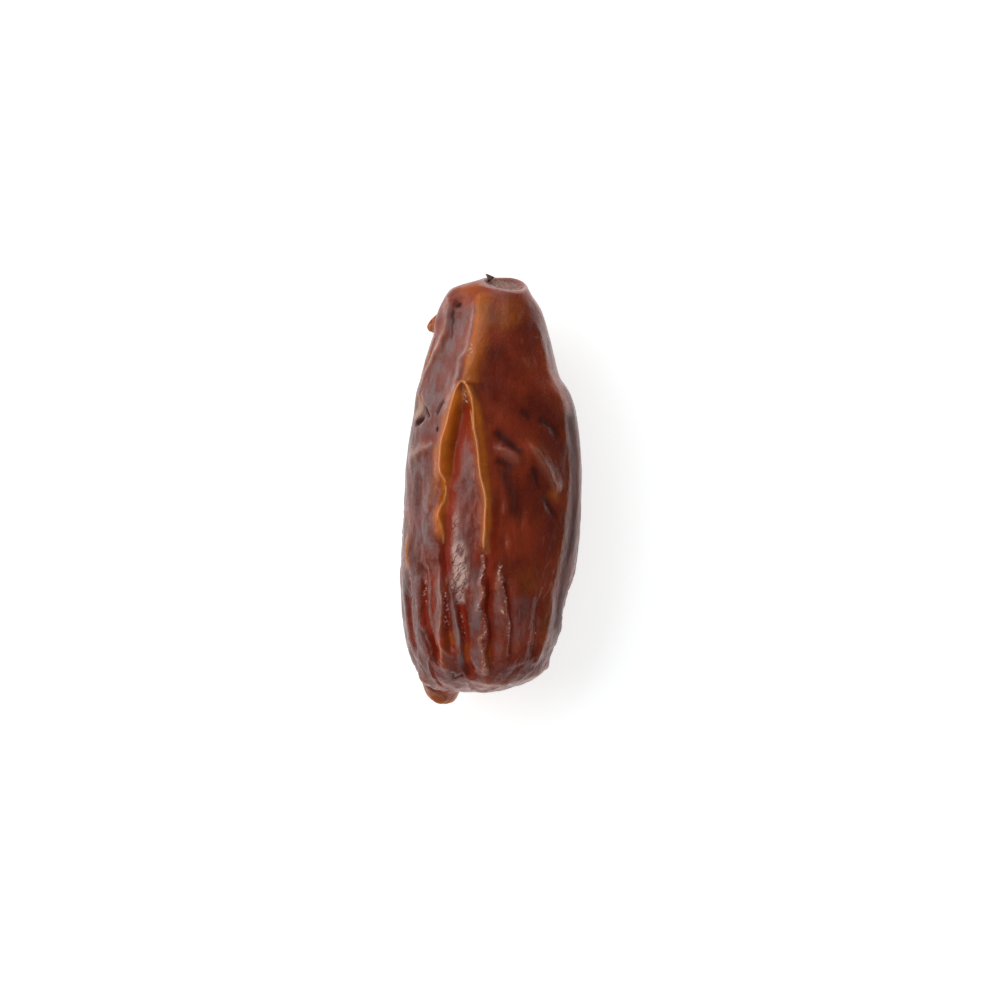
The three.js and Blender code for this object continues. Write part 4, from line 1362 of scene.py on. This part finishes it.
class NodeBoard:
    """A material's or a group's node tree, with short calls to add and link its nodes."""

    def __init__(self, tree: bpy.types.NodeTree) -> None:
        """Takes the tree to fill."""
        self.tree = tree

    def add(self, kind: str, **settings: object) -> bpy.types.Node:
        """Adds a node.

        Args:
            kind: Its type.
            settings: Values or links of inputs by their names, and the node's own properties.

        Returns:
            The node.
        """
        node = self.tree.nodes.new(kind)
        inputs = {socket.name.lower().replace(" ", "_") for socket in node.inputs}
        for name, value in settings.items():
            if name in inputs:
                self.plug(node, name.replace("_", " "), value)
            else:
                setattr(node, name, value)
        return node

    def plug(self, node: bpy.types.Node, name: str | int, value: object) -> None:
        """Sets or links an input.

        Args:
            node: The node.
            name: The input's name, whatever its capitals, or its number.
            value: A value, or a socket to link.
        """
        if isinstance(name, int):
            socket = node.inputs[name]
        else:
            socket = next(s for s in node.inputs if s.name.lower() == name.lower() and s.enabled)
        if isinstance(value, NodeSocket):
            self.tree.links.new(value, socket)
        else:
            socket.default_value = value

    def math(self, operation: str, a: object, b: object = 0.0, clamp: bool = False) -> NodeSocket:
        """Adds a Math node.

        Args:
            operation: What it does.
            a: Its first value or socket.
            b: Its second value or socket.
            clamp: Whether its result is kept between 0 and 1.

        Returns:
            Its output.
        """
        node = self.add("ShaderNodeMath", operation=operation, use_clamp=clamp)
        self.plug(node, 0, a)
        self.plug(node, 1, b)
        return node.outputs[0]

    def vectors(self, operation: str, a: object, b: object) -> NodeSocket:
        """Adds a Vector Math node.

        Args:
            operation: What it does.
            a: Its first vector or socket.
            b: Its second vector or socket.

        Returns:
            Its output.
        """
        node = self.add("ShaderNodeVectorMath", operation=operation)
        self.plug(node, 0, a)
        self.plug(node, 1, b)
        return node.outputs[0]

    def mix(self, factor: object, a: object, b: object) -> NodeSocket:
        """Mixes two colours.

        Args:
            factor: The share of the second.
            a: The first colour.
            b: The second colour.

        Returns:
            The mixed colour.
        """
        node = self.tree.nodes.new("ShaderNodeMix")
        node.data_type = "RGBA"
        for socket, value in zip((node.inputs[0], node.inputs[6], node.inputs[7]), (factor, a, b)):
            if isinstance(value, NodeSocket):
                self.tree.links.new(value, socket)
            else:
                socket.default_value = (*value, 1.0) if isinstance(value, tuple) else value
        return node.outputs[2]

    def times(self, *factors: object) -> NodeSocket:
        """Multiplies sockets and numbers.

        Args:
            factors: The sockets and numbers.

        Returns:
            The product.
        """
        product = factors[0]
        for factor in factors[1:]:
            product = self.math("MULTIPLY", product, factor)
        return product

    def layer(self, under: object, mask: str | NodeSocket, paint: object, *strengths: object) -> NodeSocket:
        """Lays a paint over a colour.

        Args:
            under: The colour under it.
            mask: Where it lies: the name of an attribute, or a socket.
            paint: The colour of the paint.
            strengths: Numbers or sockets by which the mask is multiplied.

        Returns:
            The new colour.
        """
        place = self.attribute(mask) if isinstance(mask, str) else mask
        return self.mix(self.times(place, *strengths), under, paint)

    def range(
        self, value: object, low: object, high: object, to_low: float = 0, to_high: float = 1
    ) -> NodeSocket:
        """Maps a value from one range to another, clamped.

        Args:
            value: What is mapped.
            low: The low end of its range.
            high: The high end of its range.
            to_low: What the low end becomes.
            to_high: What the high end becomes.

        Returns:
            The mapped value.
        """
        node = self.add("ShaderNodeMapRange")
        for number, item in enumerate((value, low, high, to_low, to_high)):
            self.plug(node, number, item)
        return node.outputs[0]

    def bump(self, height: NodeSocket, strength: float, distance: float) -> NodeSocket:
        """Gives normals that are bent by a height."""
        return self.add("ShaderNodeBump", strength=strength, distance=distance, height=height).outputs[0]

    def surface(self, **settings: object) -> None:
        """Adds the Principled shader with its settings and puts it out as the surface."""
        shader = self.add("ShaderNodeBsdfPrincipled", **settings)
        self.tree.links.new(shader.outputs[0], self.add("ShaderNodeOutputMaterial").inputs[0])

    def places(self, along: float = 1.0) -> NodeSocket:
        """Gives the places on the object, in millimetres.

        Args:
            along: By how much the places along the fruit are multiplied.

        Returns:
            The places.
        """
        coordinates = self.add("ShaderNodeTexCoord").outputs["Object"]
        scale = (1 / MM, along / MM, 1 / MM)
        return self.add("ShaderNodeMapping", vector=coordinates, scale=scale).outputs[0]

    def attribute(self, name: str) -> NodeSocket:
        """Gives the value of one of the mesh's attributes."""
        return self.add("ShaderNodeAttribute", attribute_name=name).outputs["Fac"]

    def noise(self, where: NodeSocket, scale: object, detail: float = 3.0) -> NodeSocket:
        """Gives a noise pattern's value."""
        return self.add("ShaderNodeTexNoise", vector=where, scale=scale, detail=detail).outputs[0]

    def pattern(self, where: NodeSocket, kind: Pattern) -> NodeSocket:
        """Gives a pattern's values."""
        level = self.noise(where, kind.scale, kind.detail)
        return self.range(level, kind.low, kind.high, kind.least, kind.most)

    def patches(self, where: NodeSocket, scale: float, low: float, high: float) -> NodeSocket:
        """Adds the shared group of ragged patches.

        Args:
            where: The places.
            scale: How fine the patches are.
            low: The noise level at which a patch starts.
            high: The level at which it is full.

        Returns:
            The patches' mask.
        """
        node = self.tree.nodes.new("ShaderNodeGroup")
        node.node_tree = patches_group()
        for name, value in (("Where", where), ("Scale", scale), ("Low", low), ("High", high)):
            self.plug(node, name, value)
        return node.outputs["Mask"]


def patches_group() -> bpy.types.NodeTree:
    """Gives the shared group of ragged patches, and builds it the first time.

    Returns:
        A group that takes a place, a scale and the two noise levels between which its Mask rises from 0 to 1.
    """
    name = "ragged_patches"
    if name in bpy.data.node_groups:
        return bpy.data.node_groups[name]
    group = bpy.data.node_groups.new(name, "ShaderNodeTree")
    group.interface.new_socket("Where", in_out="INPUT", socket_type="NodeSocketVector")
    for socket in ("Scale", "Low", "High"):
        group.interface.new_socket(socket, in_out="INPUT", socket_type="NodeSocketFloat")
    group.interface.new_socket("Mask", in_out="OUTPUT", socket_type="NodeSocketFloat")
    board = NodeBoard(group)
    given = board.add("NodeGroupInput").outputs
    mask = board.range(board.noise(given["Where"], given["Scale"], 5.0), given["Low"], given["High"])
    board.tree.links.new(mask, board.add("NodeGroupOutput").inputs["Mask"])
    return group


def started_material(name: str) -> tuple[bpy.types.Material, NodeBoard]:
    """Starts a material.

    Args:
        name: Its name.

    Returns:
        The empty material and its board.
    """
    material = bpy.data.materials.new(name)
    material.use_nodes = True
    material.node_tree.nodes.clear()
    return material, NodeBoard(material.node_tree)


@dataclass(frozen=True)
class SkinFinish:
    """The glossy, translucent skin of the date over its flesh.

    Attributes:
        deep: The darker of the skin's two browns.
        brown: The lighter one.
        side_shade: A dull brown that paints the left side and the hidden sides darker, against the strong
            window light.
        amber: Raised, thin skin.
        painted_glow: A painted glow of light through the thin skin beside a thin ridge, in bright amber.
        lip: The lip of flesh.
        pale: Skin that is drawn tight, and a painted highlight along a crest or a rim.
        crest: A painted highlight along a thin raised ridge, over its amber.
        groove: A hollow in the left half, where light shines through.
        shade: Painted shade in a hollow of the right half or the hidden sides, in a dent and along the right
            edge.
        dark: Painted shade in an opening or a crack.
        flesh: Dry flesh in the torn place.
        bloom_and_sheen: The dull wax, with a painted sheen of reflected light.
        glaze_and_highlight: A painted highlight on the crackled, glossy patch.
        glint: A painted sparkle.
        scar: The fibres of the scar.
        stub: What lies between them.
        along: How fine the patterns are along the fruit, where across it is 1.
        slant: The turn of the glaze's cracks.
        crackle: How the glaze's cracks are drawn out: along X, Y and Z.
        scatter: How far red, green and blue light spreads in the flesh, in millimetres.
        subsurface: How much light goes into the flesh.
        specular: How strongly the skin mirrors.
        coat: How much of the gloss lies over the skin's colour.
        coat_roughness: How rough that gloss is.
        bare_roughness: How rough torn places and the scar are.
        sunk_roughness: How rough hollows are.
        glaze_gloss: How much less rough the glaze is.
        mottle: Where the skin is the lighter brown.
        uneven: How strongly the sides are painted darker, in uneven patches.
        dapple: How dense the wax and its painted sheen are.
        streaks: How bright the amber is.
        broken: How bright the pale lines are.
        left_glaze: Where the glossy patch hasn't flaked off, which is where its painted highlight lies.
        sparks: Where a painted glint lies.
        sheen: How rough the skin is.
        cover: How far each paint hides what is under it.
    """

    deep: Colour = (0.18, 0.019, 0.008)
    brown: Colour = (0.37, 0.05, 0.014)
    side_shade: Colour = (0.085, 0.015, 0.009)
    amber: Colour = (0.70, 0.20, 0.016)
    painted_glow: Colour = (0.90, 0.32, 0.035)
    lip: Colour = (0.60, 0.16, 0.012)
    pale: Colour = (0.55, 0.33, 0.30)
    crest: Colour = (0.95, 0.42, 0.18)
    groove: Colour = (0.36, 0.024, 0.002)
    shade: Colour = (0.065, 0.006, 0.003)
    dark: Colour = (0.05, 0.008, 0.006)
    flesh: Colour = (0.50, 0.34, 0.26)
    bloom_and_sheen: Colour = (0.30, 0.195, 0.19)
    glaze_and_highlight: Colour = (0.85, 0.57, 0.49)
    glint: Colour = (1.0, 0.72, 0.6)
    scar: Colour = (0.42, 0.22, 0.18)
    stub: Colour = (0.28, 0.14, 0.115)
    along: float = 0.55
    slant: float = 0.64
    crackle: tuple[float, float, float] = (1.5, 0.5, 1.0)
    scatter: Colour = (1.0, 0.25, 0.08)
    subsurface: float = 0.5
    specular: float = 0.3
    coat: float = 0.2
    coat_roughness: float = 0.12
    bare_roughness: float = 0.75
    sunk_roughness: float = 0.6
    glaze_and_highlight_gloss: float = 0.2
    mottle: Pattern = Pattern(0.22, 0.35, 0.65)
    uneven: Pattern = Pattern(0.5, 0.3, 0.7, 0.45, 0.85)
    dapple: Pattern = Pattern(0.95, 0.4, 0.57, 0.25, 1.0, detail=5.0)
    streaks: Pattern = Pattern(1.4, 0.3, 0.7, 0.65, 0.95)
    broken: Pattern = Pattern(1.4, 0.35, 0.6, 0.35, 0.75)
    left_glaze_and_highlight: Pattern = Pattern(1.6, 0.34, 0.5, detail=5.0)
    sparks: Pattern = Pattern(3.6, 0.56, 0.64, detail=1.0)
    sheen: Pattern = Pattern(1.6, 0.3, 0.7, 0.24, 0.38)
    cover: Mapping[str, float] = field(default_factory=lambda: {
        "ridge": 0.3, "groove": 0.92, "shade": 0.85, "bloom_and_sheen": 0.68, "glow": 0.7, "crest": 0.8, "glaze_and_highlight": 0.75,
        "cracks": 0.4, "glint": 0.8,
    })

    def _ground(self, board: NodeBoard, even: NodeSocket, where: NodeSocket) -> NodeSocket:
        """Gives the mottled brown: painted darker at the sides, red in grooves, painted shade in dents and
        hollows.

        Args:
            board: The material's board.
            even: The places on the object.
            where: The places, drawn out along the fruit.

        Returns:
            The colour.
        """
        # Hollows take red on the left half, and painted shade on the right half and the hidden sides.
        hollow = board.mix(board.attribute("dome"), self.groove, self.shade)
        colour = board.mix(board.pattern(even, self.mottle), self.deep, self.brown)
        # Painted darkening of the left and hidden sides, where the window light falls strongly.
        colour = board.layer(colour, "side", self.side_shade, board.pattern(where, self.uneven))
        colour = board.layer(colour, "ridge", self.amber, self.cover["ridge"])
        colour = board.layer(colour, "groove", hollow, self.cover["groove"])
        return board.layer(colour, "shade", self.shade, self.cover["shade"])

    def _veiled(self, board: NodeBoard, under: NodeSocket, even: NodeSocket, where: NodeSocket) -> NodeSocket:
        """Lays the wax and painted sheen, amber, painted glow, and pale lines and painted highlights over a
        colour.

        Args:
            board: The material's board.
            under: The colour under them.
            even: The places on the object.
            where: The places, drawn out along the fruit.

        Returns:
            The new colour.
        """
        groove, amber = board.attribute("groove"), board.attribute("amber")
        dapple = board.pattern(where, self.dapple)
        clear = board.math("SUBTRACT", 1.0, board.math("MAXIMUM", groove, amber), clamp=True)
        drawn = board.math("MAXIMUM", board.attribute("pale"), board.attribute("ring"))
        # The wax with its painted sheen of reflected light.
        colour = board.layer(under, "bloom_and_sheen", self.bloom_and_sheen, dapple, clear, self.cover["bloom_and_sheen"])
        colour = board.layer(colour, amber, self.amber, board.pattern(where, self.streaks))
        # The painted glow of light through the thin skin beside the crests.
        colour = board.layer(colour, "glow", self.painted_glow, self.cover["glow"])
        colour = board.layer(colour, "lip", self.lip)
        # Pale lines: tight skin, and painted highlights along crests and rims.
        colour = board.layer(colour, drawn, self.pale, board.pattern(even, self.broken))
        # The painted highlight along the thin crests.
        return board.layer(colour, "crest", self.crest, self.cover["crest"])

    def _crackle(self, board: NodeBoard, even: NodeSocket) -> tuple[NodeSocket, NodeSocket]:
        """Draws how the glaze has cracked.

        Args:
            board: The material's board.
            even: The places on the object.

        Returns:
            A mask of the glaze that has stayed, and one of the cracks.
        """
        turned = board.add("ShaderNodeMapping", vector=even, rotation=(0, 0, self.slant)).outputs[0]
        slanted = board.add("ShaderNodeMapping", vector=turned, scale=self.crackle).outputs[0]
        bent = board.add("ShaderNodeTexNoise", vector=even, scale=0.9, detail=4.0).outputs["Color"]
        bent = board.add("ShaderNodeVectorMath", operation="SCALE", vector=bent, scale=2.0).outputs[0]
        bent = board.vectors("ADD", bent, slanted)
        cells = board.add("ShaderNodeTexVoronoi", feature="DISTANCE_TO_EDGE", vector=bent, scale=1.0)
        whole = board.range(cells.outputs[0], 0.0, 0.07)
        stayed = board.times(whole, board.pattern(slanted, self.left_glaze_and_highlight))
        return stayed, board.math("SUBTRACT", 1.0, whole)

    def _rough(self, board: NodeBoard, where: NodeSocket, bare: NodeSocket, sunk: NodeSocket) -> NodeSocket:
        """Gives the roughness: low on the glaze, high where the skin is bare or sunk.

        Args:
            board: The material's board.
            where: The places, drawn out along the fruit.
            bare: Where the skin is missing.
            sunk: Where it is sunk.

        Returns:
            The roughness.
        """
        gloss = board.times(board.attribute("glaze_and_highlight"), self.glaze_and_highlight_gloss)
        rough = board.math("SUBTRACT", board.pattern(where, self.sheen), gloss)
        rough = board.math("MAXIMUM", rough, board.times(bare, self.bare_roughness))
        return board.math("MAXIMUM", rough, board.times(sunk, self.sunk_roughness))

    def _relief(self, board: NodeBoard, even: NodeSocket, where: NodeSocket, *more: NodeSocket) -> NodeSocket:
        """Gives the finest relief, which is bumped and not modelled.

        Args:
            board: The material's board.
            even: The places on the object.
            where: The places, drawn out along the fruit.
            more: Heights to add.

        Returns:
            The height.
        """
        loose = board.math("MAXIMUM", board.attribute("pleated"), board.attribute("side"))
        relief = board.times(board.noise(where, 1.3, 4.0), board.range(loose, 0.0, 1.0, 0.5, 1.3))
        for height in (board.times(board.noise(even, 4.5, 2.0), 0.25), *more):
            relief = board.math("ADD", relief, height)
        return relief

    def material(self) -> bpy.types.Material:
        """Builds the material.

        Returns:
            The material. It reads the colour masks that the skin's mesh holds.
        """
        material, board = started_material("date_skin")
        even, where = board.places(), board.places(self.along)
        stayed, cracks = self._crackle(board, even)
        stringy = board.patches(even, 2.6, 0.38, 0.62)
        scar = board.attribute("scar")

        colour = self._veiled(board, self._ground(board, even, where), even, where)
        # The painted highlight of the glaze, broken by its darker cracks.
        colour = board.layer(colour, "glaze_and_highlight", self.glaze_and_highlight, stayed, self.cover["glaze_and_highlight"])
        colour = board.layer(colour, "glaze_and_highlight", self.dark, cracks, self.cover["cracks"])
        # Painted glints along the rims.
        sparks = board.pattern(even, self.sparks)
        colour = board.layer(colour, "glint", self.glint, sparks, self.cover["glint"])
        colour = board.layer(colour, "flesh", self.flesh)
        # Painted shade in the openings and cracks.
        colour = board.layer(colour, "dark", self.dark)
        colour = board.layer(colour, scar, board.mix(stringy, self.stub, self.scar))

        torn = board.math("MAXIMUM", board.attribute("flesh"), board.attribute("dark"))
        bare = board.math("MAXIMUM", scar, torn)
        sunk = board.math("MAXIMUM", board.attribute("groove"), board.attribute("shade"))
        thin = board.times(board.attribute("amber"), 0.7)
        plain = board.math("MAXIMUM", board.math("MAXIMUM", sunk, bare), thin)
        flakes = board.times(stayed, board.attribute("glaze_and_highlight"), 0.4)
        relief = self._relief(board, even, where, flakes, board.times(stringy, scar, 0.8))
        board.surface(
            base_color=colour,
            roughness=self._rough(board, where, bare, sunk),
            coat_weight=board.times(board.math("SUBTRACT", 1.0, plain, clamp=True), self.coat),
            coat_roughness=self.coat_roughness,
            specular_ior_level=self.specular,
            subsurface_weight=self.subsurface,
            subsurface_radius=self.scatter,
            subsurface_scale=MM,
            normal=board.bump(relief, 0.5, 0.3 * MM),
        )
        return material


@dataclass(frozen=True)
class TornFinish:
    """A dry, torn bit of skin or stalk, in ragged patches of two colours.

    Attributes:
        name: The material's name.
        near: The lighter colour.
        far: The darker colour.
        roughness: Its roughness.
        subsurface: How much light goes into it.
        scatter: How far red, green and blue light spreads in it, in millimetres.
    """

    name: str
    near: Colour
    far: Colour
    roughness: float
    subsurface: float
    scatter: Colour = (1.0, 0.4, 0.1)

    def material(self) -> bpy.types.Material:
        """Builds the material.

        Returns:
            The material.
        """
        material, board = started_material(self.name)
        places = board.places()
        board.surface(
            base_color=board.mix(board.patches(places, 1.8, 0.38, 0.6), self.near, self.far),
            roughness=self.roughness,
            subsurface_weight=self.subsurface,
            subsurface_radius=self.scatter,
            subsurface_scale=MM,
            normal=board.bump(board.noise(places, 4.0), 0.6, 0.2 * MM),
        )
        return material


AMBER_FLAKE = TornFinish(
    "flake", near=(0.48, 0.16, 0.025), far=(0.24, 0.05, 0.015), roughness=0.4, subsurface=0.6
)
DRY_FIBRE = TornFinish(
    "fibre", near=(0.20, 0.10, 0.07), far=(0.07, 0.035, 0.025), roughness=0.8, subsurface=0.1
)


@dataclass
class SoftLight:
    """A square soft light that looks at the fruit.

    Attributes:
        name: The light's name.
        azimuth: Degrees from +X towards +Y to the light.
        elevation: Its degrees above the floor.
        distance: Its distance from the fruit in metres.
        size: The side of its square in metres.
        radiance: How bright its face is.
    """

    name: str
    azimuth: float
    elevation: float
    distance: float
    size: float
    radiance: float

    def build(self, target: Vector) -> None:
        """Places the light.

        Args:
            target: The point that it faces.
        """
        light = bpy.data.lights.new(self.name, "AREA")
        light.size = self.size
        light.energy = self.radiance * math.pi * self.size**2
        lamp = bpy.data.objects.new(self.name, light)
        turn, lift = math.radians(self.azimuth), math.radians(self.elevation)
        way = Vector((math.cos(turn) * math.cos(lift), math.sin(turn) * math.cos(lift), math.sin(lift)))
        lamp.location = target + self.distance * way
        lamp.rotation_euler = way.to_track_quat("Z", "Y").to_euler()
        bpy.context.scene.collection.objects.link(lamp)


@dataclass
class Studio:
    """The camera above the fruit, the pale floor and the soft lights.

    Attributes:
        lens: Focal length in millimetres.
        sensor: The camera's sensor width in millimetres.
        height: The height at which the outline of the fruit lies, in millimetres.
        table: The colour of the table under the fruit.
        glow: How bright the lit table is by itself.
        sky: How bright the light from all sides is.
        lights: The soft lights.
    """

    lens: float = 300.0
    sensor: float = 36.0
    height: float = 8.0
    table: Colour = (0.86, 0.93, 0.92)
    glow: float = 0.72
    sky: float = 0.1
    lights: Sequence[SoftLight] = (
        SoftLight("window", 155, 38, 0.75, 0.8, 1.8),
        SoftLight("front", -95, 34, 0.75, 0.6, 0.6),
        SoftLight("stem_side", 95, 35, 0.8, 0.5, 1.1),
    )

    def build(self) -> None:
        """Builds all of it."""
        self._camera()
        self._floor()
        for light in self.lights:
            light.build(Vector((0, 0, self.height * MM)))
        world = bpy.data.worlds.new("studio")
        world.use_nodes = True
        world.node_tree.nodes["Background"].inputs[0].default_value = (1, 1, 1, 1)
        world.node_tree.nodes["Background"].inputs[1].default_value = self.sky
        bpy.context.scene.world = world
        bpy.context.scene.view_settings.view_transform = "Standard"

    def _camera(self) -> None:
        """Places the camera straight above, so that it sees the fruit as the picture shows it."""
        camera = bpy.data.cameras.new("camera")
        camera.lens = self.lens
        camera.sensor_width = self.sensor
        (across, along), = seen((PICTURE_SIDE / 2, PICTURE_SIDE / 2))
        distance = PICTURE_SIDE * PIXEL * self.lens / self.sensor
        eye = bpy.data.objects.new("camera", camera)
        eye.location = Vector((across, along, self.height + distance)) * MM
        bpy.context.scene.collection.objects.link(eye)
        bpy.context.scene.camera = eye

    def _floor(self) -> None:
        """Lays the pale floor."""
        sheet = bmesh.new()
        bmesh.ops.create_grid(sheet, x_segments=1, y_segments=1, size=2.0)
        floor = finished(sheet, "floor")
        material = bpy.data.materials.new("floor")
        material.use_nodes = True
        shader = material.node_tree.nodes["Principled BSDF"]
        shader.inputs["Base Color"].default_value = (*self.table, 1)
        shader.inputs["Roughness"].default_value = 0.9
        shader.inputs["Specular IOR Level"].default_value = 0.0
        shader.inputs["Emission Color"].default_value = (1, 1, 1, 1)
        shader.inputs["Emission Strength"].default_value = self.glow
        floor.data.materials.append(material)


def main() -> None:
    """Builds the studio and the date."""
    logging.basicConfig(level=logging.INFO, format="%(message)s")
    noise.seed_set(NOISE_SEED)
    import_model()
    Studio().build()
    pieces = (
        (FruitSkin().build(), SkinFinish().material()),
        (Flake().build(), AMBER_FLAKE.material()),
        (Fibre().build(), DRY_FIBRE.material()),
    )
    for piece, material in pieces:
        piece.data.materials.append(material)
        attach(piece, BODY)
        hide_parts(NODE)
        log.info("%s: %d faces", piece.name, len(piece.data.polygons))


if __name__ == "__main__":
    main()
